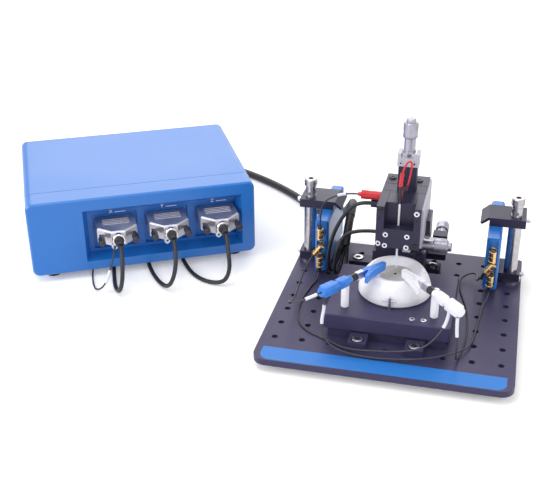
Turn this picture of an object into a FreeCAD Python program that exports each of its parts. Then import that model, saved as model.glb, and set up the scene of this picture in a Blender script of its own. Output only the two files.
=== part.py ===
import FreeCAD, Part
import math
import os
import re
import Sketcher
from FreeCAD import Placement, Rotation, Vector

# A scanning electrochemical microscope in millimetres: a perforated base plate that carries the cell,
# the three-axis probe stage and two preamplifier pods, and the motion controller that stands beside it.
# The row frame has +Z up, +X to the right and +Y away from the viewer, with z = 0 at the bench.

SIZES = [
    # where the two units stand
    ("stage_x", 166.6), ("stage_y", -140.5), ("feet_height", 8), ("box_x", -199.2), ("box_y", -82.5),
    ("box_turn", 28.06),
    # base plate, with x = 0 at its middle, y = 0 at the first row of holes and z = 0 on its top
    ("plate_width", 225), ("plate_front", 38), ("plate_depth", 234), ("plate_thick", 6),
    ("plate_corner", 12), ("hole_pitch", 25), ("hole_radius", 2.85), ("hole_columns", 9),
    ("hole_rows", 8), ("strip_width", 212), ("strip_inset", 1.5), ("strip_depth", 19.5),
    ("strip_thick", 1.2), ("strip_corner", 9), ("foot_radius", 9), ("foot_waist", 1.5),
    ("plate_foot_inset", 24), ("box_foot_inset", 20),
    # cap screws and the lugs that they hold down
    ("lug_width", 16), ("lug_thick", 8), ("screw_clearance", 3.3), ("counterbore_radius", 5.6),
    ("counterbore_depth", 5), ("screw_head_radius", 5), ("screw_head_height", 6),
    ("screw_shank_radius", 2.8), ("screw_hex", 2.5), ("screw_hex_depth", 3),
    # platform under the cell
    ("probe_x", -1.9), ("platform_width", 112), ("platform_front", 10), ("platform_depth", 96),
    ("platform_height", 24), ("platform_plate", 14), ("platform_inset", 3), ("platform_corner", 2),
    ("platform_bevel", 0.8), ("platform_lug_front", -6),
    # cell, its disc and the clamp posts beside it
    ("cell_y", 65), ("cell_radius", 33.4), ("cell_height", 23), ("cell_wall_height", 6),
    ("cell_dome", 34), ("rim_radius", 25.4), ("rim_width", 2.6), ("bowl_radius", 16.2),
    ("bowl_depth", 4.8), ("disc_radius", 15), ("disc_gap", 0.3), ("disc_thick", 4),
    ("notch_width", 13), ("notch_depth", 5), ("notch_reach", 9), ("contact_radius", 1.1),
    ("contact_height", 12), ("contact_bar", 13), ("contact_bar_radius", 0.7), ("contact_side", 0),
    ("peg_spread", 40), ("peg_y", 28), ("peg_radius", 3.6), ("peg_height", 22),
    ("thumb_radius", 3.6), ("thumb_height", 5.5), ("thumb_shank", 1.5), ("thumb_shank_length", 9),
    ("thumb_gap", 0.06), ("thumb_bevel", 0.6),
    # stage base and its two carriages
    ("stage_left", -28), ("stage_width", 45), ("stage_depth", 70), ("stage_gap", 2),
    ("stage_front", "=platform_front + platform_depth + stage_gap"),
    ("stage_height", 26), ("stage_lug_y", "=6 * hole_pitch"), ("stage_lug_right", 25), ("stage_lug_left", -50),
    ("rail_width", 16), ("rail_neck", 11), ("rail_height", 5), ("rail_gap", 0.3),
    ("saddle_left", -30), ("saddle_width", 50), ("saddle_height", 14), ("stage_bevel", 0.8),
    ("table_left", -27), ("table_width", 33), ("table_depth", 44), ("arm_depth", 12),
    ("arm_height", 11), ("flange_thick", 3.7), ("flange_front", 95), ("flange_top", 84),
    # micrometer heads
    ("travel", 4), ("pitch_length", 0.5), ("sleeve_radius", 5.2), ("sleeve_bore", 1.9),
    ("sleeve_collar", 5.9), ("collar_length", 2), ("thimble_radius", 6.5), ("thimble_length", 14),
    ("thimble_cup", 11.5), ("thimble_gap", 0.3), ("cap_radius", 4.3), ("cap_length", 3.5),
    ("cap_bevel", 0.8), ("grip_length", 7), ("grip_flutes", 16), ("flute_radius", 0.5),
    ("spindle_radius", 1.6), ("overlap", 6), ("x_drive_y", "=stage_front + 10"), ("x_drive_z", 47.5),
    ("x_sleeve_shown", 10.5), ("y_drive_x", 30), ("y_drive_z", 33), ("y_sleeve_shown", 12),
    ("z_sleeve_shown", 14), ("bracket_thick", 5.5), ("bracket_width", 14), ("bracket_gap", 4.6),
    ("y_bracket_y", "=stage_front + 46"), ("y_bracket_depth", 12), ("anvil_depth", 8),
    # probe head
    ("head_left", -21), ("head_width", 39.5), ("head_bottom", 73), ("head_height", 40),
    ("head_front", 55), ("head_back", 129), ("front_thick", 10.6), ("window_left", -14),
    ("window_width", 26.5), ("window_bottom", 91.6), ("channel_left", -13.5),
    ("channel_width", 25.5), ("channel_depth", 22), ("seam_depth", 0.5), ("seam_first", 90),
    ("seam_second", 106), ("drive_x", 0.5), ("drive_y", 98), ("slot_width", 10),
    ("slot_length", 18), ("slot_roof", 6), ("slide_gap", 0.3), ("tongue_bottom", 80),
    ("tongue_height", 12), ("slide_bottom", 77), ("head_bevel", 0.8),
    ("cover_thick", 1.8), ("cover_margin", 2), ("button_radius", 2.6), ("button_height", 1.6),
    ("button_hex", 1.1), ("column_width", 17), ("column_depth", 12.5), ("column_height", 24),
    ("yoke_width", 19.5), ("yoke_depth", 13.5), ("yoke_height", 12), ("yoke_notch", 13),
    ("yoke_notch_depth", 4), ("yoke_corner", 1.5), ("probe_radius", 1), ("probe_tip_z", 48),
    ("probe_seat_gap", 0.05), ("probe_notch", 3.2), ("probe_notch_depth", 1.8),
    ("probe_tip_length", 6), ("probe_tip_radius", 0.4), ("cap_height", 15),
    ("probe_cap_radius", 1.7), ("plug_radius", 4), ("plug_length", 18), ("plug_y", 85),
    ("plug_z", 109), ("gland_radius", 3.6), ("gland_length", 9), ("gland_z", 101),
    # posts, clamps and pods, mirrored on x = 0
    ("post_x", 101), ("post_y", 155), ("post_radius", 6.35), ("post_foot_radius", 11),
    ("post_foot_thick", 1.8), ("post_height", 60), ("shoe_inner", 89.6), ("shoe_outer", 110.5),
    ("clamp_front", 147), ("clamp_depth", 31), ("shoe_height", 8.2), ("clamp_inner", 74.7),
    ("clamp_thick", 8.5), ("lip_reach", 7), ("lip_drop", 6), ("lip_thick", 1.6),
    ("clamp_bevel", 0.8), ("pod_inner", 76), ("pod_thick", 13.5), ("pod_front", 121),
    ("pod_depth", 85), ("pod_bottom", 5), ("pod_top", 60), ("pod_corner", 3),
    ("recess_margin", 2.5), ("recess_bottom", 9), ("recess_top", 56), ("recess_depth", 2),
    ("knob_radius", 6.3), ("knob_head_height", 7), ("knob_height", 20.2), ("knob_neck", 5),
    ("knob_bore", 2.6), ("knob_bore_depth", 6), ("knob_pin", 1.8), ("knob_stud", 3),
    ("knob_stud_gap", 0.08), ("knob_stud_length", 14),
    ("coax_reach", 8), ("coax_radius", 2.6), ("coax_barrel", 11.4), ("coax_barrel_radius", 3.1),
    ("coax_first", 38.6), ("coax_pitch", 13), ("coax_count", 3), ("coax_lean", 35),
    # controller case, with its own x along the front, y to the back and z up from its underside
    ("box_width", 230), ("box_depth", 173), ("box_height", 80), ("box_corner", 7),
    ("bezel_depth", 26), ("sheet_thick", 1.5), ("seam_width", 0.6), ("bezel_wall", 4),
    ("port_width", 162), ("port_side", 13.5), ("port_right", "=box_width - port_side"),
    ("port_left", "=port_right - port_width"), ("port_bottom", 10.5), ("port_top", 67),
    ("port_taper", 4.5), ("port_sill", 3.5), ("port_depth", 15), ("panel_thick", 6),
    ("pocket_first", "=port_left + 32.2"), ("pocket_pitch", 52.4), ("pocket_width", 45), ("pocket_bottom", 17),
    ("pocket_height", 38), ("pocket_depth", 3.5), ("socket_width", 34), ("socket_height", 10),
    ("vent_count", 9), ("vent_pitch", 10), ("vent_width", 3), ("vent_height", 34),
    ("inlet_width", 27), ("inlet_height", 20), ("inlet_depth", 14), ("inlet_wall", 2),
    ("switch_gap", 0.1),
    # plug hoods and their jack screws
    ("hood_z", 43), ("hood_width", 40), ("hood_height", 15), ("hood_shoulder", 26),
    ("hood_length", 38), ("hood_nose", 14), ("hood_corner", 1.5), ("hood_ribs", 4),
    ("rib_pitch", 3.6), ("rib_width", 1.2), ("rib_rise", 0.5), ("ferrule_radius", 6.2),
    ("ferrule_length", 5), ("ferrule_bore", 4.6), ("boot_radius", 3.6), ("boot_length", 8),
    ("jack_spread", 33.3), ("jack_radius", 1.5), ("jack_knob_radius", 3.2),
    ("jack_knob_length", 12), ("jack_knob_start", 35), ("jack_gap", 0.3), ("jack_flutes", 10),
    # crocodile clips, along their own x from the pivot to the tips
    ("clip_jaw", 22), ("clip_lever", 13), ("clip_width", 7), ("clip_bite", 0.15), ("clip_depth", 4.6),
    ("lever_rise", 4.2), ("lever_slope", 0.42), ("clip_pin", 1.2), ("clip_pin_gap", 0.08),
    ("clip_ear", 2.6), ("clip_ear_gap", 0.3), ("clip_hub", 3), ("collar_start", 16),
    ("clip_collar", 3.5), ("clip_collar_length", 8), ("clip_boot", 3.5), ("clip_boot_length", 19),
    ("clip_socket", 4.2), ("clip_socket_length", 19), ("clip_sink", 2.6), ("clip_bevel", 0.8),
    # cords
    ("loom_radius", 4.2), ("cable_radius", 1.8), ("plug_cable_radius", 2.15), ("lead_radius", 0.85),
    ("earth_radius", 0.9), ("bundle_radius", 2.15), ("plug_bundle_radius", 2.55),
]

doc = FreeCAD.newDocument("Microscope")
sheet = doc.addObject("Spreadsheet::Sheet", "Sizes")
for row, (alias, value) in enumerate(SIZES, start=1):
    sheet.set(f"A{row}", alias)
    sheet.set(f"B{row}", str(value))
    sheet.setAlias(f"B{row}", alias)
doc.recompute()
NAMES = re.compile(r"\b(" + "|".join(alias for alias, _ in SIZES) + r")\b")
SUBPARTS = []


def size(text):
    """The value, in millimetres or degrees, of an expression in the sheet's own names."""
    return float(sheet.evalExpression(str(text)))


def bind(item, field, text):
    """Ties one property of a feature to the sheet."""
    item.setExpression(field, NAMES.sub(r"Sizes.\1", str(text)))


def stage_frame():
    return Placement(Vector(size("stage_x"), size("stage_y"), size("feet_height + plate_thick")), Rotation())


def box_frame():
    turn = Rotation(Vector(0, 0, 1), size("box_turn"))
    return Placement(Vector(size("box_x"), size("box_y"), size("feet_height")), turn)


def at(x, y, z, axis=None, angle=0):
    """A place given by sheet expressions, with an optional turn about an axis."""
    turn = Rotation(Vector(*axis), angle) if axis else Rotation()
    return Placement(Vector(size(x), size(y), size(z)), turn)


def finish(label, item, frame, place=None):
    """Names a finished sub-part and sets it into the row frame."""
    local = item.Placement if place is None else place
    item.Label = label
    item.Placement = frame.multiply(local)
    SUBPARTS.append(item)


def new_body(name):
    return doc.addObject("PartDesign::Body", name)


def sketch_on(body, role, offset="0"):
    """A sketch on one of the body's own origin planes, lifted off it by an expression."""
    plane = [item for item in body.Origin.OriginFeatures if item.Role == role][0]
    sketch = body.newObject("Sketcher::SketchObject", "Sketch")
    sketch.AttachmentSupport = [(plane, "")]
    sketch.MapMode = "FlatFace"
    bind(sketch, "AttachmentOffset.Base.z", offset)
    return sketch


def arc_between(start, end, radius, side):
    """The arc from start to end whose centre lies to the left (side 1) or right (side -1) of the chord."""
    chord = end - start
    middle = (start + end) * 0.5
    rise = math.sqrt(max(radius * radius - chord.Length * chord.Length / 4, 0))
    left = Vector(-chord.y, chord.x, 0).normalize()
    centre = middle + left * (rise * side)
    out = (middle - centre).normalize() if rise > 1e-9 else left * -side
    return Part.Arc(start, centre + out * radius, end)


def pin_point(sketch, edge, end, x, y):
    """Fixes one end of an edge at a point given by two expressions."""
    for kind, axis, text in (("DistanceX", -2, x), ("DistanceY", -1, y)):
        value = size(text)
        if abs(value) < 1e-9:
            sketch.addConstraint(Sketcher.Constraint("PointOnObject", edge, end, axis))
        else:
            made = sketch.addConstraint(Sketcher.Constraint(kind, -1, 1, edge, end, value))
            bind(sketch, f"Constraints[{made}]", text)


def outline(sketch, corners):
    """A closed outline. A corner is (x, y), or (x, y, radius, side) where an arc leads to the next one."""
    count = len(corners)
    points = [Vector(size(c[0]), size(c[1]), 0) for c in corners]
    ends = []
    for i, corner in enumerate(corners):
        start, end = points[i], points[(i + 1) % count]
        if len(corner) == 2:
            edge = sketch.addGeometry(Part.LineSegment(start, end))
            ends.append((edge, 1, 2))
        else:
            edge = sketch.addGeometry(arc_between(start, end, size(corner[2]), corner[3]))
            ends.append((edge, 1, 2) if corner[3] > 0 else (edge, 2, 1))
    for i in range(count):
        following = ends[(i + 1) % count]
        sketch.addConstraint(Sketcher.Constraint("Coincident", ends[i][0], ends[i][2], following[0], following[1]))
    for i, corner in enumerate(corners):
        pin_point(sketch, ends[i][0], ends[i][1], corner[0], corner[1])
        if len(corner) > 2:
            made = sketch.addConstraint(Sketcher.Constraint("Radius", ends[i][0], size(corner[2])))
            bind(sketch, f"Constraints[{made}]", corner[2])


def rectangle(sketch, x0, y0, x1, y1):
    outline(sketch, [(x0, y0), (x1, y0), (x1, y1), (x0, y1)])


def circle(sketch, radius, x="0", y="0"):
    edge = sketch.addGeometry(Part.Circle(Vector(size(x), size(y), 0), Vector(0, 0, 1), size(radius)))
    pin_point(sketch, edge, 3, x, y)
    made = sketch.addConstraint(Sketcher.Constraint("Radius", edge, size(radius)))
    bind(sketch, f"Constraints[{made}]", radius)


def hexagon(sketch, radius, x="0", y="0"):
    """A hexagon with two corners on its own x axis."""
    outline(sketch, [
        (f"({x}) + ({radius}) * {math.cos(math.radians(60 * i)):.6f}",
         f"({y}) + ({radius}) * {math.sin(math.radians(60 * i)):.6f}") for i in range(6)])


def pad(body, sketch, length, reverse=False):
    made = body.newObject("PartDesign::Pad", "Pad")
    made.Profile = sketch
    made.Reversed = reverse
    bind(made, "Length", length)
    doc.recompute()
    return made


def pocket(body, sketch, depth, reverse=False):
    """Cuts a sketch into the body, and stops if it removes nothing."""
    before = body.Shape.Volume
    made = body.newObject("PartDesign::Pocket", "Pocket")
    made.Profile = sketch
    made.Reversed = reverse
    bind(made, "Length", depth)
    doc.recompute()
    if made.Shape.Volume > before - 1e-6:
        raise RuntimeError(f"{body.Name}: a pocket cuts nothing")
    return made


def turned(body, sketch):
    """Turns a profile a full circle about the sketch's own vertical axis."""
    made = body.newObject("PartDesign::Revolution", "Revolution")
    made.Profile = sketch
    made.ReferenceAxis = (sketch, ["V_Axis"])
    made.Angle = 360
    doc.recompute()
    return made


def edge_names(shape, test):
    return [f"Edge{i}" for i, edge in enumerate(shape.Edges, start=1) if test(edge)]


def upright(edge):
    """True for a straight edge along z."""
    return edge.Curve.TypeId == "Part::GeomLine" and edge.BoundBox.ZLength > 0.99 * edge.Length > 0


def round_edges(body, radius, test):
    """Rounds the edges of the body's last feature that pass the test."""
    made = body.newObject("PartDesign::Fillet", "Fillet")
    last = body.Tip if body.Tip != made else made.BaseFeature
    made.Base = (last, edge_names(last.Shape, test))
    bind(made, "Radius", radius)
    doc.recompute()
    return made


def bevel_edges(body, width, test):
    """Bevels the edges of the body's last feature that pass the test."""
    made = body.newObject("PartDesign::Chamfer", "Chamfer")
    last = body.Tip if body.Tip != made else made.BaseFeature
    made.Base = (last, edge_names(last.Shape, test))
    bind(made, "Size", width)
    doc.recompute()
    return made


def polar(body, feature, count):
    """Repeats a cut about the body's z axis."""
    axis = [item for item in body.Origin.OriginFeatures if item.Role == "Z_Axis"][0]
    made = body.newObject("PartDesign::PolarPattern", "Polar")
    made.Originals = [feature]
    made.Axis = (axis, [""])
    made.Angle = 360
    bind(made, "Occurrences", count)
    body.Tip = made
    doc.recompute()
    return made


def cylinder(radius, height, place=None, name="Cylinder"):
    made = doc.addObject("Part::Cylinder", name)
    bind(made, "Radius", radius)
    bind(made, "Height", height)
    made.Placement = place or Placement()
    return made


def block(length, width, height, place=None, name="Block"):
    made = doc.addObject("Part::Box", name)
    bind(made, "Length", length)
    bind(made, "Width", width)
    bind(made, "Height", height)
    made.Placement = place or Placement()
    return made


def joined(items, name="Fusion"):
    made = doc.addObject("Part::MultiFuse", name)
    made.Shapes = items
    doc.recompute()
    return made


def grouped(items, name="Group"):
    made = doc.addObject("Part::Compound", name)
    made.Links = items
    doc.recompute()
    return made


def cut(base, tools, name="Cut"):
    """Takes one or more tools from a base, and stops if they remove nothing."""
    made = doc.addObject("Part::Cut", name)
    made.Base = base
    made.Tool = tools[0] if len(tools) == 1 else joined(tools)
    doc.recompute()
    if made.Shape.Volume > base.Shape.Volume - 1e-6:
        raise RuntimeError(f"{name}: a cut removes nothing")
    return made


def softened(base, radius, test, kind="Part::Fillet"):
    """Rounds or bevels the edges of a Part object that pass the test."""
    doc.recompute()
    made = doc.addObject(kind, "Softened")
    made.Base = base
    width = size(radius)
    made.Edges = [(i, width, width) for i, edge in enumerate(base.Shape.Edges, start=1) if test(edge)]
    doc.recompute()
    return made


ALONG_X = ((0, 1, 0), 90)
AGAINST_X = ((0, 1, 0), -90)
ALONG_Y = ((1, 0, 0), -90)
AGAINST_Y = ((1, 0, 0), 90)


def base_plate():
    """Anodised plate with a grid of M6 holes and a shallow pocket for the coloured strip."""
    body = new_body("BasePlate")
    front = sketch_on(body, "XY_Plane")
    rectangle(front, "-plate_width / 2", "-plate_front", "plate_width / 2", "plate_depth - plate_front")
    pad(body, front, "plate_thick", reverse=True)
    round_edges(body, "plate_corner", lambda e: upright(e) and e.BoundBox.YMin < 0)
    strip = sketch_on(body, "XY_Plane")
    rectangle(strip, "-strip_width / 2", "strip_inset - plate_front", "strip_width / 2",
              "strip_inset + strip_depth - plate_front")
    pocket(body, strip, "strip_thick")
    corner = size("strip_inset - plate_front")
    round_edges(body, "strip_corner", lambda e: upright(e) and abs(e.BoundBox.YMin - corner) < 1e-6
                and e.Length < size("plate_thick") - 1e-6)
    hole = sketch_on(body, "XY_Plane")
    circle(hole, "hole_radius", "-hole_pitch * (hole_columns - 1) / 2", "0")
    first = pocket(body, hole, "plate_thick")
    grid = body.newObject("PartDesign::LinearPattern", "HoleGrid")
    grid.Originals = [first]
    axes = {item.Role: item for item in body.Origin.OriginFeatures}
    grid.Direction = (axes["X_Axis"], [""])
    grid.Direction2 = (axes["Y_Axis"], [""])
    grid.Mode = "Extent"
    grid.Mode2 = "Extent"
    bind(grid, "Length", "hole_pitch * (hole_columns - 1)")
    bind(grid, "Length2", "hole_pitch * (hole_rows - 1)")
    bind(grid, "Occurrences", "hole_columns")
    bind(grid, "Occurrences2", "hole_rows")
    body.Tip = grid
    doc.recompute()
    finish("base_plate", body, stage_frame())


def front_strip():
    """Coloured strip let flush into the plate's front edge."""
    body = new_body("FrontStrip")
    face = sketch_on(body, "XY_Plane")
    rectangle(face, "-strip_width / 2", "strip_inset - plate_front", "strip_width / 2",
              "strip_inset + strip_depth - plate_front")
    pad(body, face, "strip_thick", reverse=True)
    corner = size("strip_inset - plate_front")
    round_edges(body, "strip_corner", lambda e: upright(e) and abs(e.BoundBox.YMin - corner) < 1e-6)
    finish("front_strip", body, stage_frame())


def rubber_feet():
    """Eight round feet, four under the plate and four under the case."""
    feet = []
    spots = []
    inset = size("plate_foot_inset")
    for x in (-size("plate_width / 2") + inset, size("plate_width / 2") - inset):
        for y in (inset - size("plate_front"), size("plate_depth - plate_front") - inset):
            spots.append(stage_frame().multVec(Vector(x, y, 0)))
    inset = size("box_foot_inset")
    for x in (inset, size("box_width") - inset):
        for y in (inset, size("box_depth") - inset):
            spots.append(box_frame().multVec(Vector(x, y, 0)))
    for spot in spots:
        foot = doc.addObject("Part::Cone", "Foot")
        bind(foot, "Radius1", "foot_radius - foot_waist")
        bind(foot, "Radius2", "foot_radius")
        bind(foot, "Height", "feet_height")
        foot.Placement = Placement(Vector(spot.x, spot.y, 0), Rotation())
        feet.append(foot)
    finish("rubber_feet", grouped(feet, "Feet"), Placement())


def lug(body, x0, x1, y0, y1):
    """A lug on the floor of a body, with round outer corners."""
    foot = sketch_on(body, "XY_Plane")
    rectangle(foot, x0, y0, x1, y1)
    pad(body, foot, "lug_thick")


def screw_seat(body, spots):
    """Counterbored clearance holes through lugs."""
    for radius, floor in (("screw_clearance", "0"), ("counterbore_radius", "lug_thick - counterbore_depth")):
        for x, y in spots:
            mouth = sketch_on(body, "XY_Plane", floor)
            circle(mouth, radius, x, y)
            pocket(body, mouth, "lug_thick", reverse=True)


def cell_platform():
    """Black block that carries the cell: a thick top plate on an inset foot with two lugs."""
    body = new_body("CellPlatform")
    foot = sketch_on(body, "XY_Plane")
    rectangle(foot, "probe_x - platform_width / 2 + platform_inset", "platform_front + platform_inset",
              "probe_x + platform_width / 2 - platform_inset",
              "platform_front + platform_depth - platform_inset")
    pad(body, foot, "platform_height - platform_plate")
    top = sketch_on(body, "XY_Plane", "platform_height - platform_plate")
    rectangle(top, "probe_x - platform_width / 2", "platform_front", "probe_x + platform_width / 2",
              "platform_front + platform_depth")
    pad(body, top, "platform_plate")
    round_edges(body, "platform_corner", upright)
    level = size("platform_height")
    bevel_edges(body, "platform_bevel", lambda e: abs(e.BoundBox.ZMin - level) < 1e-6)
    for side in ("-hole_pitch", "hole_pitch"):
        lug(body, f"{side} - lug_width / 2", f"{side} + lug_width / 2", "platform_lug_front",
            "platform_front + platform_inset + platform_corner")
    screw_seat(body, [("-hole_pitch", "0"), ("hole_pitch", "0")])
    for side in ("probe_x - peg_spread", "probe_x + peg_spread"):
        socket = sketch_on(body, "XY_Plane", "platform_height")
        circle(socket, "thumb_shank", side, "peg_y")
        pocket(body, socket, "thumb_shank_length")
    finish("cell_platform", body, stage_frame())


def mounting_screws():
    """Four socket cap screws, two on the platform's lugs and two on the stage's."""
    screws = []
    seat = "lug_thick - counterbore_depth"
    for x, y in (("-hole_pitch", "0"), ("hole_pitch", "0"), ("stage_lug_left", "stage_lug_y"),
                 ("stage_lug_right", "stage_lug_y")):
        body = new_body("CapScrew")
        shank = sketch_on(body, "XY_Plane", "-plate_thick")
        circle(shank, "screw_shank_radius")
        pad(body, shank, f"plate_thick + {seat}")
        head = sketch_on(body, "XY_Plane", seat)
        circle(head, "screw_head_radius")
        pad(body, head, "screw_head_height")
        key = sketch_on(body, "XY_Plane", f"{seat} + screw_head_height")
        hexagon(key, "screw_hex")
        pocket(body, key, "screw_hex_depth")
        body.Placement = at(x, y, "0")
        screws.append(body)
    finish("mounting_screws", grouped(screws, "CapScrews"), stage_frame())


def cell_body():
    """White cell turned as a low dome with a bowl in its top, and a notch cut in one side of the rim."""
    body = new_body("CellBody")
    profile = sketch_on(body, "XZ_Plane")
    outline(profile, [
        ("0", "0"), ("cell_radius - 2", "0"), ("cell_radius", "2"),
        ("cell_radius", "cell_wall_height", "cell_dome", 1), ("rim_radius", "cell_height"),
        ("rim_radius - rim_width", "cell_height"), ("bowl_radius", "cell_height - bowl_depth"),
        ("disc_radius + disc_gap", "cell_height - bowl_depth"),
        ("disc_radius + disc_gap", "cell_height - bowl_depth - disc_thick"),
        ("0", "cell_height - bowl_depth - disc_thick")])
    turned(body, profile)
    notch = sketch_on(body, "XY_Plane", "cell_height")
    rectangle(notch, "rim_radius - rim_width / 2", "-notch_width / 2", "rim_radius + notch_reach", "notch_width / 2")
    pocket(body, notch, "notch_depth")
    finish("cell_body", body, stage_frame(), at("probe_x", "cell_y", "platform_height"))


def sample_disc():
    """Grey sample disc that lies in the bowl's floor."""
    disc = cylinder("disc_radius", "disc_thick", at("probe_x", "cell_y",
                    "platform_height + cell_height - bowl_depth - disc_thick"), "SampleDisc")
    finish("sample_disc", disc, stage_frame())


def cell_contact():
    """Plated contact pin with a cross bar in front of the cell."""
    front = "cell_y - cell_radius - contact_radius - disc_gap"
    pin = cylinder("contact_radius", "contact_height", at("probe_x + contact_side", front, "platform_height"))
    bar = cylinder("contact_bar_radius", "contact_bar", at("probe_x + contact_side - contact_bar / 2", front,
                   "platform_height + contact_height * 0.7", *ALONG_X))
    ball = doc.addObject("Part::Sphere", "Tip")
    bind(ball, "Radius", "contact_radius")
    ball.Placement = at("probe_x + contact_side", front, "platform_height + contact_height")
    finish("cell_contact", joined([pin, bar, ball], "CellContact"), stage_frame())


def cell_posts():
    """Two white posts beside the cell, drilled for their thumb screws."""
    posts = []
    for side in ("probe_x - peg_spread", "probe_x + peg_spread"):
        post = cylinder("peg_radius", "peg_height", at(side, "peg_y", "platform_height"))
        bore = cylinder("thumb_shank + thumb_gap", "peg_height / 2",
                        at(side, "peg_y", "platform_height + peg_height / 2"))
        posts.append(cut(post, [bore]))
    finish("cell_posts", grouped(posts, "CellPosts"), stage_frame())


def cell_thumb(label, side):
    """Knurled thumb screw on a cell post."""
    body = new_body("CellThumb")
    profile = sketch_on(body, "XZ_Plane")
    outline(profile, [
        ("0", "-thumb_shank_length"), ("thumb_shank", "-thumb_shank_length"), ("thumb_shank", "0"),
        ("thumb_radius", "0"), ("thumb_radius", "thumb_height - thumb_bevel"),
        ("thumb_radius - thumb_bevel", "thumb_height"), ("0", "thumb_height")])
    turned(body, profile)
    finish(label, body, stage_frame(), at(side, "peg_y", "platform_height + peg_height"))


def dovetail(sketch, middle, floor, gap, swap=False):
    """A dovetail section that widens upwards from floor, grown by a gap for the groove."""
    points = [
        (f"{middle} - rail_neck / 2 - {gap}", floor), (f"{middle} + rail_neck / 2 + {gap}", floor),
        (f"{middle} + rail_width / 2 + {gap}", f"{floor} + rail_height + {gap}"),
        (f"{middle} - rail_width / 2 - {gap}", f"{floor} + rail_height + {gap}")]
    outline(sketch, [(y, x) for x, y in reversed(points)] if swap else points)


def stage_base():
    """Fixed lower block of the stage: lugs, a dovetail rail along y and the y micrometer's bracket."""
    body = new_body("StageBase")
    middle = "stage_left + stage_width / 2"
    floor = sketch_on(body, "XY_Plane")
    rectangle(floor, "stage_left", "stage_front", "stage_left + stage_width", "stage_front + stage_depth")
    pad(body, floor, "stage_height")
    bevel_edges(body, "stage_bevel", upright)
    lug(body, "stage_left + stage_width - 2 * stage_bevel", "stage_lug_right + lug_width / 2",
        "stage_lug_y - lug_width / 2", "stage_lug_y + lug_width / 2")
    lug(body, "stage_lug_left - lug_width / 2", "stage_left + 2 * stage_bevel",
        "stage_lug_y - lug_width / 2", "stage_lug_y + lug_width / 2")
    screw_seat(body, [("stage_lug_left", "stage_lug_y"), ("stage_lug_right", "stage_lug_y")])
    rail = sketch_on(body, "XZ_Plane", "-stage_front")
    dovetail(rail, middle, "stage_height", "0")
    pad(body, rail, "stage_depth", reverse=True)
    bracket = sketch_on(body, "XZ_Plane", "-y_bracket_y")
    outline(bracket, [
        ("stage_left + stage_width - 2 * stage_bevel", "lug_thick + counterbore_depth"),
        ("y_drive_x + bracket_width / 2", "lug_thick + counterbore_depth"),
        ("y_drive_x + bracket_width / 2", "y_drive_z + bracket_width / 2"),
        ("y_drive_x - bracket_width / 2", "y_drive_z + bracket_width / 2"),
        ("y_drive_x - bracket_width / 2", "stage_height - slide_gap"),
        ("stage_left + stage_width - 2 * stage_bevel", "stage_height - slide_gap")])
    pad(body, bracket, "y_bracket_depth", reverse=True)
    bore = sketch_on(body, "XZ_Plane", "-y_bracket_y")
    circle(bore, "sleeve_bore", "y_drive_x", "y_drive_z")
    pocket(body, bore, "y_bracket_depth")
    finish("stage_base", body, stage_frame())


def y_carriage():
    """Saddle that slides along y on the base and carries a rail along x and the x micrometer's bracket."""
    body = new_body("YCarriage")
    top = "stage_height + saddle_height"
    slab = sketch_on(body, "XY_Plane", "stage_height")
    rectangle(slab, "saddle_left", "stage_front", "saddle_left + saddle_width", "stage_front + stage_depth")
    pad(body, slab, "saddle_height")
    bevel_edges(body, "stage_bevel", upright)
    anvil = sketch_on(body, "XZ_Plane", "-y_bracket_y + bracket_gap + anvil_depth")
    rectangle(anvil, "saddle_left + saddle_width - 2 * stage_bevel", "y_drive_z - bracket_width / 2",
              "y_drive_x + bracket_width / 2", "y_drive_z + bracket_width / 2")
    pad(body, anvil, "anvil_depth", reverse=True)
    groove = sketch_on(body, "XZ_Plane", "-stage_front + 1")
    dovetail(groove, "stage_left + stage_width / 2", "stage_height - slide_gap / 2", "rail_gap")
    pocket(body, groove, "stage_depth + 2")
    rail = sketch_on(body, "YZ_Plane", "saddle_left")
    dovetail(rail, "stage_front + table_depth / 2", top, "0")
    pad(body, rail, "table_left + table_width + bracket_gap - saddle_left")
    bracket = sketch_on(body, "XY_Plane", top)
    rectangle(bracket, "table_left + table_width + bracket_gap", "x_drive_y - bracket_width / 2",
              "table_left + table_width + bracket_gap + bracket_thick", "x_drive_y + bracket_width / 2")
    pad(body, bracket, "x_drive_z + bracket_width / 2 - stage_height - saddle_height")
    bore = sketch_on(body, "YZ_Plane", "table_left + table_width + bracket_gap")
    circle(bore, "sleeve_bore", "x_drive_y", "x_drive_z")
    pocket(body, bore, "bracket_thick", reverse=True)
    finish("y_carriage", body, stage_frame())


def x_carriage():
    """Table that slides along x and lifts the probe head on an arm with an upright flange."""
    body = new_body("XCarriage")
    table = sketch_on(body, "XY_Plane", "stage_height + saddle_height")
    rectangle(table, "table_left", "stage_front", "table_left + table_width", "stage_front + table_depth")
    pad(body, table, "head_bottom - stage_height - saddle_height")
    bevel_edges(body, "stage_bevel", upright)
    arm = sketch_on(body, "XY_Plane", "head_bottom - arm_height")
    rectangle(arm, "table_left + table_width / 2", "stage_front", "head_left + head_width + cover_thick + flange_thick",
              "stage_front + arm_depth")
    pad(body, arm, "arm_height")
    flange = sketch_on(body, "YZ_Plane", "head_left + head_width + cover_thick")
    outline(flange, [
        ("flange_front", "head_bottom"), ("stage_front", "head_bottom - arm_height"),
        ("stage_front + arm_depth", "head_bottom - arm_height"), ("stage_front + arm_depth", "flange_top"),
        ("flange_front", "flange_top")])
    pad(body, flange, "flange_thick")
    groove = sketch_on(body, "YZ_Plane", "table_left - 1")
    dovetail(groove, "stage_front + table_depth / 2", "stage_height + saddle_height - slide_gap / 2", "rail_gap")
    pocket(body, groove, "table_width + 2", reverse=True)
    finish("x_carriage", body, stage_frame())


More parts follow.
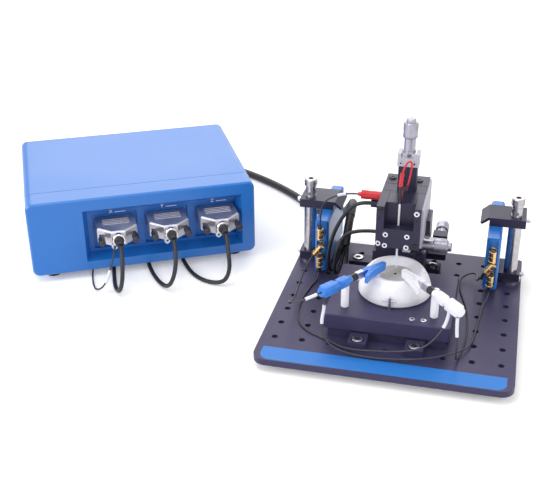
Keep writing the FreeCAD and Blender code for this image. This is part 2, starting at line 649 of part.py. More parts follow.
def sleeve(label, shown, frame_place):
    """Fixed barrel of a micrometer head, with a collar at its foot and a through bore."""
    body = new_body("Sleeve")
    profile = sketch_on(body, "XZ_Plane")
    outline(profile, [
        ("sleeve_bore", "0"), ("sleeve_collar", "0"), ("sleeve_collar", "collar_length"),
        ("sleeve_radius", "collar_length"), ("sleeve_radius", f"{shown} + overlap"),
        ("sleeve_bore", f"{shown} + overlap")])
    turned(body, profile)
    finish(label, body, stage_frame(), frame_place)


def thimble(label, shown, reach, frame_place):
    """Turning barrel that caps the sleeve, with a fluted grip, an end cap and the spindle inside."""
    body = new_body("Thimble")
    profile = sketch_on(body, "XZ_Plane")
    outline(profile, [
        ("0", f"-({reach})"), ("spindle_radius", f"-({reach})"), ("spindle_radius", f"{shown} + thimble_cup"),
        ("sleeve_radius + thimble_gap", f"{shown} + thimble_cup"), ("sleeve_radius + thimble_gap", shown),
        ("thimble_radius - cap_bevel / 2", shown), ("thimble_radius", f"{shown} + cap_bevel"),
        ("thimble_radius", f"{shown} + thimble_length - cap_bevel"),
        ("thimble_radius - cap_bevel", f"{shown} + thimble_length"),
        ("cap_radius", f"{shown} + thimble_length"),
        ("cap_radius", f"{shown} + thimble_length + cap_length - cap_bevel"),
        ("cap_radius - cap_bevel", f"{shown} + thimble_length + cap_length"),
        ("0", f"{shown} + thimble_length + cap_length")])
    turned(body, profile)
    flute = sketch_on(body, "XY_Plane", f"{shown} + thimble_length")
    circle(flute, "flute_radius", "thimble_radius + flute_radius / 3")
    first = pocket(body, flute, "grip_length")
    polar(body, first, "grip_flutes")
    finish(label, body, stage_frame(), frame_place)


def head_block():
    """Rear of the probe head: bolted plates with the slide's channel and the motor cable's gland on the left."""
    body = new_body("HeadBlock")
    right = "head_left + head_width"
    middle = "head_front + front_thick"
    section = sketch_on(body, "XY_Plane", "head_bottom")
    outline(section, [
        ("head_left", middle), ("channel_left", middle), ("channel_left", f"{middle} + channel_depth"),
        ("drive_x - slot_width / 2", f"{middle} + channel_depth"),
        ("drive_x - slot_width / 2", f"{middle} + channel_depth + slot_length"),
        ("drive_x + slot_width / 2", f"{middle} + channel_depth + slot_length"),
        ("drive_x + slot_width / 2", f"{middle} + channel_depth"),
        ("channel_left + channel_width", f"{middle} + channel_depth"), ("channel_left + channel_width", middle),
        (right, middle), (right, "head_back"), ("head_left", "head_back")])
    pad(body, section, "head_height")
    roof = sketch_on(body, "XY_Plane", "head_bottom + head_height - slot_roof")
    rectangle(roof, "drive_x - slot_width / 2 - 1", f"{middle} + channel_depth", "drive_x + slot_width / 2 + 1",
              f"{middle} + channel_depth + slot_length + 1")
    pad(body, roof, "slot_roof")
    bore = sketch_on(body, "XY_Plane", "head_bottom + head_height")
    circle(bore, "sleeve_bore", "drive_x", "drive_y")
    pocket(body, bore, "slot_roof")
    for seam in ("seam_first", "seam_second"):
        line = sketch_on(body, "XY_Plane", "head_bottom + head_height")
        rectangle(line, "head_left", seam, right, f"{seam} + seam_depth")
        pocket(body, line, "seam_depth")
    gland = sketch_on(body, "YZ_Plane", "head_left")
    circle(gland, "gland_radius", "plug_y", "gland_z")
    pad(body, gland, "gland_length", reverse=True)
    finish("head_block", body, stage_frame())


def head_front():
    """Front plate of the head: a U with an open-topped window and a slot behind for the probe."""
    body = new_body("HeadFront")
    right = "head_left + head_width"
    top = "head_bottom + head_height"
    section = sketch_on(body, "XZ_Plane", "-head_front")
    outline(section, [
        ("head_left", "head_bottom"), (right, "head_bottom"), (right, top),
        ("window_left + window_width", top), ("window_left + window_width", "window_bottom"),
        ("window_left", "window_bottom"), ("window_left", top), ("head_left", top)])
    pad(body, section, "front_thick", reverse=True)
    bevel_edges(body, "head_bevel", lambda e: upright(e) and abs(e.BoundBox.YMin - size("head_front")) < 1e-6
                and e.Length > size("head_height") - 1e-6)
    slot = sketch_on(body, "XY_Plane", "head_bottom")
    rectangle(slot, "probe_x - probe_notch / 2", "head_front + front_thick - probe_notch_depth",
              "probe_x + probe_notch / 2", "head_front + front_thick")
    pocket(body, slot, "window_bottom - head_bottom", reverse=True)
    finish("head_front", body, stage_frame())


BUTTON_SPOTS = [(14.7, 109.1), (-11.8, 86.4), (7.3, 86.2), (-18.1, 77.1), (-12.1, 75.6), (7.1, 75.6)]


def head_screws():
    """Six plated button-head screws on the front plate."""
    screws = []
    for x, z in BUTTON_SPOTS:
        button = cylinder("button_radius", "button_height", at(str(x), "head_front", str(z), *AGAINST_Y))
        button = softened(button, "button_height * 0.6", lambda e: e.BoundBox.YMax < size("head_front") - 0.1)
        key = cylinder("button_hex", "button_height",
                       at(str(x), "head_front - button_height / 2", str(z), *AGAINST_Y))
        screws.append(cut(button, [key]))
    finish("head_screws", grouped(screws, "HeadScrews"), stage_frame())


def head_side_cover():
    """Bare aluminium cover plate on the head's right side."""
    cover = block("cover_thick", "head_back - head_front - 2 * cover_margin", "head_height - cover_margin",
                  at("head_left + head_width", "head_front + cover_margin", "head_bottom + cover_margin / 2"))
    finish("head_side_cover", softened(cover, "cover_margin / 2", lambda e: e.BoundBox.XLength > 0.9 * e.Length),
           stage_frame())


def drive_column():
    """Dark spacer that lifts the z micrometer above the head."""
    column = block("column_width", "column_depth", "column_height",
                   at("drive_x - column_width / 2", "drive_y - column_depth / 2", "head_bottom + head_height"))
    column = softened(column, "yoke_corner / 2", upright)
    bore = cylinder("sleeve_bore", "column_height", at("drive_x", "drive_y", "head_bottom + head_height"))
    finish("drive_column", cut(column, [bore]), stage_frame())


def drive_yoke():
    """Grey yoke that clamps the z micrometer between two ears."""
    body = new_body("DriveYoke")
    base = "head_bottom + head_height + column_height"
    section = sketch_on(body, "XZ_Plane", "-drive_y + yoke_depth / 2")
    outline(section, [
        ("drive_x - yoke_width / 2", base), ("drive_x + yoke_width / 2", base),
        ("drive_x + yoke_width / 2", f"{base} + yoke_height"), ("drive_x + yoke_notch / 2", f"{base} + yoke_height"),
        ("drive_x + yoke_notch / 2", f"{base} + yoke_height - yoke_notch_depth"),
        ("drive_x - yoke_notch / 2", f"{base} + yoke_height - yoke_notch_depth"),
        ("drive_x - yoke_notch / 2", f"{base} + yoke_height"), ("drive_x - yoke_width / 2", f"{base} + yoke_height")])
    pad(body, section, "yoke_depth", reverse=True)
    outer = size("yoke_width") / 2
    round_edges(body, "yoke_corner", lambda e: upright(e)
                and abs(abs(e.BoundBox.XMin - size("drive_x")) - outer) < 1e-6)
    bore = sketch_on(body, "XY_Plane", base)
    circle(bore, "sleeve_bore", "drive_x", "drive_y")
    pocket(body, bore, "yoke_height", reverse=True)
    finish("drive_yoke", body, stage_frame())


def z_carriage():
    """Slide that rides in the head's channel, with a seat for the probe and a tongue under the spindle."""
    body = new_body("ZCarriage")
    front = "head_front + front_thick"
    top = "head_bottom + head_height"
    slide = sketch_on(body, "XY_Plane", "slide_bottom")
    rectangle(slide, "channel_left + slide_gap", front, "channel_left + channel_width - slide_gap",
              f"{front} + channel_depth - slide_gap")
    pad(body, slide, f"{top} - slide_bottom")
    tongue = sketch_on(body, "XY_Plane", "tongue_bottom")
    rectangle(tongue, "drive_x - slot_width / 2 + slide_gap", f"{front} + channel_depth - 1",
              "drive_x + slot_width / 2 - slide_gap", f"{front} + channel_depth + slot_length - 1")
    pad(body, tongue, "tongue_height")
    seat = sketch_on(body, "XY_Plane", "slide_bottom")
    circle(seat, "probe_radius + probe_seat_gap", "probe_x", "cell_y")
    pocket(body, seat, f"{top} - slide_bottom", reverse=True)
    finish("z_carriage", body, stage_frame())


def probe():
    """Microelectrode that tapers to its tip, with the black contact sleeve fixed on its upper end."""
    body = new_body("Probe")
    profile = sketch_on(body, "XZ_Plane")
    shoulder = "head_bottom + head_height - probe_tip_z"
    outline(profile, [
        ("0", "0"), ("probe_tip_radius", "0"), ("probe_radius", "probe_tip_length"), ("probe_radius", shoulder),
        ("probe_cap_radius", shoulder), ("probe_cap_radius", f"{shoulder} + cap_height"),
        ("0", f"{shoulder} + cap_height")])
    turned(body, profile)
    finish("probe", body, stage_frame(), at("probe_x", "cell_y", "probe_tip_z"))


def red_plug():
    """Red plug on the head's left side."""
    body = new_body("RedPlug")
    profile = sketch_on(body, "XZ_Plane")
    outline(profile, [
        ("0", "0"), ("plug_radius", "0"), ("plug_radius", "plug_length - 1"), ("plug_radius - 1", "plug_length"),
        ("0", "plug_length")])
    turned(body, profile)
    finish("red_plug", body, stage_frame(), at("head_left", "plug_y", "plug_z", *AGAINST_X))


def posts():
    """Two polished posts on round feet."""
    pair = []
    for side in (-1, 1):
        foot = cylinder("post_foot_radius", "post_foot_thick", at(f"{side} * post_x", "post_y", "0"))
        rod = cylinder("post_radius", "post_height", at(f"{side} * post_x", "post_y", "0"))
        bore = cylinder("knob_stud + knob_stud_gap", "knob_stud_length",
                        at(f"{side} * post_x", "post_y", "post_height - knob_stud_length + clamp_thick"))
        pair.append(cut(joined([foot, rod]), [bore]))
    finish("posts", grouped(pair, "Posts"), stage_frame())


def post_shoes():
    """Black blocks round the posts, against the outer faces of the pods."""
    pair = []
    for side in (-1, 1):
        left = "shoe_inner" if side > 0 else "-shoe_outer"
        shoe = block("shoe_outer - shoe_inner", "clamp_depth", "shoe_height",
                     at(left, "clamp_front", "post_foot_thick"))
        shoe = softened(shoe, "clamp_bevel", upright, "Part::Chamfer")
        bore = cylinder("post_radius + thumb_gap", "shoe_height", at(f"{side} * post_x", "post_y", "post_foot_thick"))
        pair.append(cut(shoe, [bore]))
    finish("post_shoes", grouped(pair, "PostShoes"), stage_frame())


def clamp_arms():
    """Black arms from the posts over the pods, each with a thin lip bent down at its inner end."""
    pair = []
    for side in (-1, 1):
        body = new_body("ClampArm")
        section = sketch_on(body, "XZ_Plane")
        top = "post_height + clamp_thick"
        corners = [
            ("shoe_outer", "post_height"), ("shoe_outer", top), ("clamp_inner", top),
            ("clamp_inner - lip_reach", f"{top} - lip_drop"),
            ("clamp_inner - lip_reach + lip_thick", f"{top} - lip_drop - lip_thick"),
            ("clamp_inner + lip_thick", f"{top} - lip_thick * 1.5"), ("clamp_inner + lip_thick", "post_height")]
        if side < 0:
            corners = [(f"-({x})", y) for x, y in reversed(corners)]
        outline(section, corners)
        pad(body, section, "clamp_depth", reverse=True)
        bore = sketch_on(body, "XY_Plane", "post_height")
        circle(bore, "knob_stud + knob_stud_gap", f"{side} * post_x", "post_y - clamp_front")
        pocket(body, bore, "clamp_thick", reverse=True)
        body.Placement = at("0", "clamp_front", "0")
        pair.append(body)
    finish("clamp_arms", grouped(pair, "ClampArms"), stage_frame())


def pods():
    """Two slim preamplifier housings with round edges and a long recess in the front."""
    pair = []
    for side in (-1, 1):
        body = new_body("Pod")
        left = "pod_inner" if side > 0 else "-pod_inner - pod_thick"
        floor = sketch_on(body, "XY_Plane", "pod_bottom")
        rectangle(floor, left, "pod_front", f"{left} + pod_thick", "pod_front + pod_depth")
        pad(body, floor, "pod_top - pod_bottom")
        round_edges(body, "pod_corner", lambda e: e.BoundBox.XLength < 0.5 * e.Length or upright(e))
        face = sketch_on(body, "XZ_Plane", "-pod_front")
        rectangle(face, f"{left} + recess_margin", "recess_bottom", f"{left} + pod_thick - recess_margin",
                  "recess_top")
        pocket(body, face, "recess_depth")
        pair.append(body)
    finish("pods", grouped(pair, "Pods"), stage_frame())


def coax_plugs():
    """Three gilt right-angle plugs in the front of each pod: the upper left one points up, the middle ones lean out."""
    plugs = []
    for side in (-1, 1):
        middle = f"{side} * (pod_inner + pod_thick / 2)"
        for i in range(round(size("coax_count"))):
            height = f"coax_first - {i} * coax_pitch + coax_barrel - coax_barrel_radius"
            neck = cylinder("coax_radius", "coax_reach + recess_depth",
                            at(middle, "pod_front + recess_depth", height, *AGAINST_Y))
            angle = 0 if i == 0 and side < 0 else 180 + (size("coax_lean") if i == 1 else 0)
            barrel = cylinder("coax_barrel_radius", "coax_barrel", at(middle, "pod_front - coax_reach", height))
            turn = Placement(Vector(), Rotation(Vector(0, 1, 0), angle))
            down = Placement(Vector(0, 0, -size("coax_barrel_radius")), Rotation())
            barrel.Placement = barrel.Placement.multiply(turn).multiply(down)
            plugs.append(joined([neck, barrel]))
    finish("coax_plugs", grouped(plugs, "CoaxPlugs"), stage_frame())


def post_knob(label, side):
    """Chrome knob with a knurled head, a round neck, a tommy-bar hole and a stud into the post."""
    body = new_body("PostKnob")
    profile = sketch_on(body, "XZ_Plane")
    outline(profile, [
        ("0", "-knob_stud_length"), ("knob_stud", "-knob_stud_length"), ("knob_stud", "0"), ("knob_neck", "0"),
        ("knob_neck", "knob_height - knob_head_height"), ("knob_radius", "knob_height - knob_head_height"),
        ("knob_radius", "knob_height - cap_bevel"), ("knob_radius - cap_bevel", "knob_height"),
        ("knob_bore", "knob_height"), ("knob_bore", "knob_height - knob_bore_depth"),
        ("0", "knob_height - knob_bore_depth")])
    turned(body, profile)
    hole = sketch_on(body, "XZ_Plane", "knob_neck")
    circle(hole, "knob_pin", "0", "knob_neck")
    pocket(body, hole, "knob_neck * 0.8")
    finish(label, body, stage_frame(), at(f"{side} * post_x", "post_y", "post_height + clamp_thick"))


def case_cover():
    """Blue wrap-round cover with round upper and lower corners, open at the front and back."""
    body = new_body("CaseCover")
    for inset, feature in (("0", pad), ("sheet_thick", pocket)):
        corner = f"box_corner - {inset}"
        section = sketch_on(body, "XZ_Plane", "-bezel_depth - seam_width")
        outline(section, [
            (f"{corner} + {inset}", inset), (f"box_width - {inset} - ({corner})", inset, corner, 1),
            (f"box_width - {inset}", f"{inset} + {corner}"),
            (f"box_width - {inset}", f"box_height - {inset} - ({corner})", corner, 1),
            (f"box_width - {inset} - ({corner})", f"box_height - {inset}"),
            (f"{inset} + {corner}", f"box_height - {inset}", corner, 1),
            (inset, f"box_height - {inset} - ({corner})"), (inset, f"{inset} + {corner}", corner, 1)])
        if feature is pad:
            pad(body, section, "box_depth - bezel_depth - seam_width", reverse=True)
        else:
            pocket(body, section, "box_depth - bezel_depth - seam_width")
    finish("case_cover", body, box_frame())


def bezel_outline(sketch, inset):
    corner = f"(box_corner - {inset})"
    outline(sketch, [
        (f"{corner} + {inset}", inset), (f"box_width - {inset} - {corner}", inset, corner, 1),
        (f"box_width - {inset}", f"{inset} + {corner}"),
        (f"box_width - {inset}", f"box_height - {inset} - {corner}", corner, 1),
        (f"box_width - {inset} - {corner}", f"box_height - {inset}"),
        (f"{inset} + {corner}", f"box_height - {inset}", corner, 1),
        (inset, f"box_height - {inset} - {corner}"), (inset, f"{inset} + {corner}", corner, 1)])


def front_bezel():
    """Moulded front with round edges and a tapered port through which the connectors are reached."""
    body = new_body("FrontBezel")
    face = sketch_on(body, "XZ_Plane")
    bezel_outline(face, "0")
    pad(body, face, "bezel_depth", reverse=True)
    bevel_edges(body, "platform_bevel * 2", lambda e: e.BoundBox.YMax < 1e-6)
    loft = body.newObject("PartDesign::SubtractiveLoft", "Port")
    mouth = sketch_on(body, "XZ_Plane")
    rectangle(mouth, "port_left", "port_bottom", "port_right", "port_top")
    throat = sketch_on(body, "XZ_Plane", "-port_depth")
    rectangle(throat, "port_left + port_taper", "port_bottom + port_sill", "port_right - port_taper",
              "port_top - port_taper - port_sill")
    loft.Profile = mouth
    loft.Sections = [throat]
    loft.Ruled = True
    body.Tip = loft
    doc.recompute()
    chamber = sketch_on(body, "XZ_Plane", "-port_depth")
    rectangle(chamber, "port_left + port_taper - panel_thick / 2", "port_bottom + port_sill - panel_thick / 2",
              "port_right - port_taper + panel_thick / 2", "port_top - port_taper - port_sill + panel_thick / 2")
    pocket(body, chamber, "bezel_depth - port_depth")
    finish("front_bezel", body, box_frame())


def connector_panel():
    """Inner panel behind the port: a dished pocket and a D-shaped socket for each of the three plugs."""
    body = new_body("ConnectorPanel")
    plate = sketch_on(body, "XZ_Plane", "-port_depth")
    rectangle(plate, "port_left + port_taper - panel_thick / 2", "port_bottom + port_sill - panel_thick / 2",
              "port_right - port_taper + panel_thick / 2", "port_top - port_taper - port_sill + panel_thick / 2")
    pad(body, plate, "panel_thick", reverse=True)
    for i in range(3):
        middle = f"pocket_first + {i} * pocket_pitch"
        dish = sketch_on(body, "XZ_Plane", "-port_depth")
        rectangle(dish, f"{middle} - pocket_width / 2", "pocket_bottom", f"{middle} + pocket_width / 2",
                  "pocket_bottom + pocket_height")
        pocket(body, dish, "pocket_depth")
        for side in (-1, 1):
            nut = sketch_on(body, "XZ_Plane", "-port_depth")
            circle(nut, "jack_radius + thumb_gap", f"{middle} + {side} * jack_spread / 2", "hood_z")
            pocket(body, nut, "panel_thick")
    finish("connector_panel", body, box_frame())


def case_base():
    """Inner base tray with the rear panel, its vent slots and the mains inlet."""
    body = new_body("CaseBase")
    fit = "(sheet_thick + switch_gap)"
    back = sketch_on(body, "XZ_Plane", "-box_depth + sheet_thick")
    bezel_outline(back, fit)
    pad(body, back, "sheet_thick", reverse=True)
    floor = sketch_on(body, "XY_Plane", fit)
    rectangle(floor, "box_corner", "bezel_depth", "box_width - box_corner", "box_depth")
    pad(body, floor, "sheet_thick")
    for i in range(round(size("vent_count"))):
        slot = sketch_on(body, "XZ_Plane", "-box_depth + sheet_thick")
        left = f"box_width * 0.12 + {i} * vent_pitch"
        rectangle(slot, left, "box_height * 0.3", f"{left} + vent_width", "box_height * 0.3 + vent_height")
        pocket(body, slot, "sheet_thick")
    for edge, start, length, reverse in (("inlet_wall", "inlet_depth", "inlet_depth", True), ("0", "0", "inlet_depth", False)):
        inlet = sketch_on(body, "XZ_Plane", f"-box_depth + {start}")
        rectangle(inlet, f"box_width * 0.62 - {edge}", f"box_height * 0.35 - {edge}",
                  f"box_width * 0.62 + inlet_width + {edge}", f"box_height * 0.35 + inlet_height + {edge}")
        if reverse:
            pad(body, inlet, length, reverse=True)
        else:
            pocket(body, inlet, f"{length} - inlet_wall", reverse=True)
    for i in range(3):
        blade = sketch_on(body, "XZ_Plane", "-box_depth + inlet_depth - inlet_wall")
        left = f"box_width * 0.62 + inlet_width * {0.2 + 0.3 * i - 0.03:.2f}"
        rectangle(blade, left, "box_height * 0.35 + inlet_height * 0.35", f"{left} + inlet_wall",
                  "box_height * 0.35 + inlet_height * 0.65")
        pad(body, blade, "inlet_depth - 2 * inlet_wall", reverse=True)
    finish("case_base", body, box_frame())


def plug_hoods():
    """Three metallised plug hoods that taper to a ringed cable entry with its boot, with ribs across the back."""
    hoods = []
    back = "port_depth + pocket_depth"
    for i in range(3):
        body = new_body("Hood")
        plan = sketch_on(body, "XY_Plane", "hood_z - hood_height / 2")
        outline(plan, [
            ("-hood_width / 2", "0"), ("-hood_width / 2", "-hood_shoulder"), ("-hood_nose / 2", "-hood_length"),
            ("hood_nose / 2", "-hood_length"), ("hood_width / 2", "-hood_shoulder"), ("hood_width / 2", "0")])
        pad(body, plan, "hood_height")
        level = size("hood_z + hood_height / 2")
        bevel_edges(body, "hood_corner", lambda e: abs(e.BoundBox.ZMin - level) < 1e-6)
        for side in (-1, 1):
            way = sketch_on(body, "XZ_Plane")
            circle(way, "jack_radius + jack_gap", f"{side} * jack_spread / 2", "hood_z")
            pocket(body, way, "hood_length", reverse=True)
        for rib in range(round(size("hood_ribs"))):
            bar = sketch_on(body, "XY_Plane", "hood_z + hood_height / 2")
            far = f"-hood_shoulder * 0.3 - {rib} * rib_pitch"
            rectangle(bar, "-hood_width / 3", f"{far} - rib_width", "hood_width / 3", far)
            pad(body, bar, "rib_rise")
        ring = sketch_on(body, "XZ_Plane", "hood_length")
        circle(ring, "ferrule_radius", "0", "hood_z")
        pad(body, ring, "ferrule_length")
        mouth = sketch_on(body, "XZ_Plane", "hood_length + ferrule_length")
        circle(mouth, "ferrule_bore", "0", "hood_z")
        pocket(body, mouth, "ferrule_length / 2")
        boot = sketch_on(body, "XZ_Plane", "hood_length")
        circle(boot, "boot_radius", "0", "hood_z")
        pad(body, boot, "boot_length")
        body.Placement = at(f"pocket_first + {i} * pocket_pitch", back, "0")
        hoods.append(body)
    finish("plug_hoods", grouped(hoods, "Hoods"), box_frame())


def jack_screws():
    """Six long thumb screws beside the hoods, with fluted black knobs."""
    screws = []
    for i in range(3):
        for side in (-1, 1):
            body = new_body("JackScrew")
            profile = sketch_on(body, "XZ_Plane")
            outline(profile, [
                ("0", "-panel_thick + pocket_depth"), ("jack_radius", "-panel_thick + pocket_depth"),
                ("jack_radius", "jack_knob_start"), ("jack_knob_radius", "jack_knob_start"),
                ("jack_knob_radius", "jack_knob_start + jack_knob_length - cap_bevel"),
                ("jack_knob_radius - cap_bevel", "jack_knob_start + jack_knob_length"),
                ("0", "jack_knob_start + jack_knob_length")])
            turned(body, profile)
            body.Placement = at(f"pocket_first + {i} * pocket_pitch + {side} * jack_spread / 2",
                                "port_depth + pocket_depth", "hood_z", *AGAINST_Y)
            screws.append(body)
    finish("jack_screws", grouped(screws, "JackScrews"), box_frame())


def clip_frame(tip, tail, side):
    """A clip's own frame at its pivot: x towards the tips, z level towards the side where the lever stands."""
    along = (tip - tail).normalize()
    lever = Vector(along.y, -along.x, 0).normalize() * side
    return Placement(tip - along * size("clip_jaw"), Rotation(along, lever.cross(along), lever, "XZY"))


CLIPS = {
    "blue_clip": clip_frame(Vector(-12, 62, 51), Vector(-56.8, -14.6, 57), 1),
    "white_clip": clip_frame(Vector(6.5, 50, 52.5), Vector(60, -14, 55.5), -1),
}


def clip_body(label, place):
    """Fixed half of a crocodile clip: lower jaw, ears with the pin, and the collar and boots of the cable end."""
    body = new_body("ClipBody")
    section = sketch_on(body, "XZ_Plane", "clip_width / 2")
    outline(section, [
        ("clip_jaw", "-clip_bite"), ("-collar_start", "-clip_bite * 4"), ("-collar_start", "-clip_depth"),
        ("0", "-clip_depth"), ("clip_jaw - 1", "-clip_depth / 2")])
    pad(body, section, "clip_width", reverse=True)
    slot = sketch_on(body, "XZ_Plane", "clip_hub / 2 + clip_ear_gap")
    circle(slot, "clip_ear + clip_ear_gap")
    pocket(body, slot, "clip_hub + 2 * clip_ear_gap")
    for start in ("clip_width / 2", "-clip_hub / 2 - clip_ear_gap"):
        ear = sketch_on(body, "XZ_Plane", start)
        circle(ear, "clip_ear")
        pad(body, ear, "clip_width / 2 - clip_hub / 2 - clip_ear_gap", reverse=True)
    pin = sketch_on(body, "XZ_Plane", "clip_width / 2")
    circle(pin, "clip_pin")
    pad(body, pin, "clip_width", reverse=True)
    start = "collar_start"
    for radius, length in (("clip_collar", "clip_collar_length"), ("clip_boot", "clip_boot_length"),
                           ("clip_socket", "clip_socket_length")):
        ring = sketch_on(body, "YZ_Plane", f"-({start})")
        circle(ring, radius, "0", "-clip_sink")
        pad(body, ring, length, reverse=True)
        start = f"{start} + {length}"
    finish(label, body, stage_frame(), place)


def clip_jaw(label, place):
    """Moving half of a crocodile clip: upper jaw and thumb lever in one, with the hub round the pin."""
    body = new_body("ClipJaw")
    section = sketch_on(body, "XZ_Plane", "clip_width / 2")
    outline(section, [
        ("clip_jaw", "clip_bite"), ("clip_jaw - 1", "clip_depth / 2"), ("0", "clip_depth"),
        ("-clip_lever", "clip_depth + lever_rise"), ("-clip_lever - 1", "clip_lever * lever_slope + 1"),
        ("-clip_lever", "clip_lever * lever_slope"), ("-clip_ear - clip_ear_gap", "(clip_ear + clip_ear_gap) * lever_slope"),
        ("0", "clip_bite")])
    pad(body, section, "clip_width", reverse=True)
    for start in ("clip_width / 2 + 1", "-clip_hub / 2"):
        way = sketch_on(body, "XZ_Plane", start)
        circle(way, "clip_ear + clip_ear_gap")
        pocket(body, way, "clip_width / 2 - clip_hub / 2 + 1")
    hub = sketch_on(body, "XZ_Plane", "clip_hub / 2")
    circle(hub, "clip_ear")
    pad(body, hub, "clip_hub", reverse=True)
    bore = sketch_on(body, "XZ_Plane", "clip_hub / 2 + 1")
    circle(bore, "clip_pin + clip_pin_gap")
    pocket(body, bore, "clip_hub + 2")
    finish(label, body, stage_frame(), place)


def tube(label, frame, route, radius, limp=False):
    """A cord: straight runs joined by the largest arcs that they allow, swept with a round section."""
    points = [Vector(*point) for point in route]
    edges = []
    start = points[0]
    radii = []
    for before, corner, after in zip(points, points[1:], points[2:]):
        come, leave = (corner - before), (after - corner)
        turn = come.getAngle(leave)
        trim = 0.45 * min(come.Length, leave.Length)
        bend = trim / math.tan(turn / 2)
        radii.append(bend)
        a = corner - come.normalize() * trim
        b = corner + leave.normalize() * trim
        inward = (come * -1 + leave).normalize()
        middle = corner + inward * (bend / math.cos(turn / 2) - bend)
        edges.append(Part.LineSegment(start, a).toShape())
        edges.append(Part.Arc(a, middle, b).toShape())
        start = b
    edges.append(Part.LineSegment(start, points[-1]).toShape())
    path = Part.Wire(edges)
    section = Part.Wire([Part.makeCircle(size(radius), points[0], points[1] - points[0])])
    item = doc.addObject("Part::Feature", "Cord")
    item.Shape = path.makePipeShell([section], True, False)
    expected = math.pi * size(radius) ** 2 * path.Length
    if abs(item.Shape.Volume / expected - 1) > 0.01:
        raise RuntimeError(f"{label}: the tube's volume is {item.Shape.Volume / expected:.3f} of its section times length")
    floor = (3 if limp else 5) * 2 * size(radius)
    print(f"{label}: length {path.Length:.0f} mm, least radius {min(radii, default=0):.1f} mm of {floor:.1f}")
    finish(label, item, frame)


def spread(end, direction, radius, count=3, turn=0):
    """The centres of a bundle's members, evenly round the point where the bundle ends."""
    direction = Vector(*direction).normalize()
    across = Vector(0, 0, 1).cross(direction)
    across = across.normalize() if across.Length > 0.1 else Vector(1, 0, 0)
    up = direction.cross(across)
    points = []
    for i in range(count):
        angle = math.radians(turn + 360 / count * i)
        points.append(Vector(*end) + (across * math.cos(angle) + up * math.sin(angle)) * radius)
    return points


def in_stage(points):
    """Points of the case's own frame, given in the plate's frame."""
    change = stage_frame().inverse().multiply(box_frame())
    return [change.multVec(Vector(*point)) for point in points]


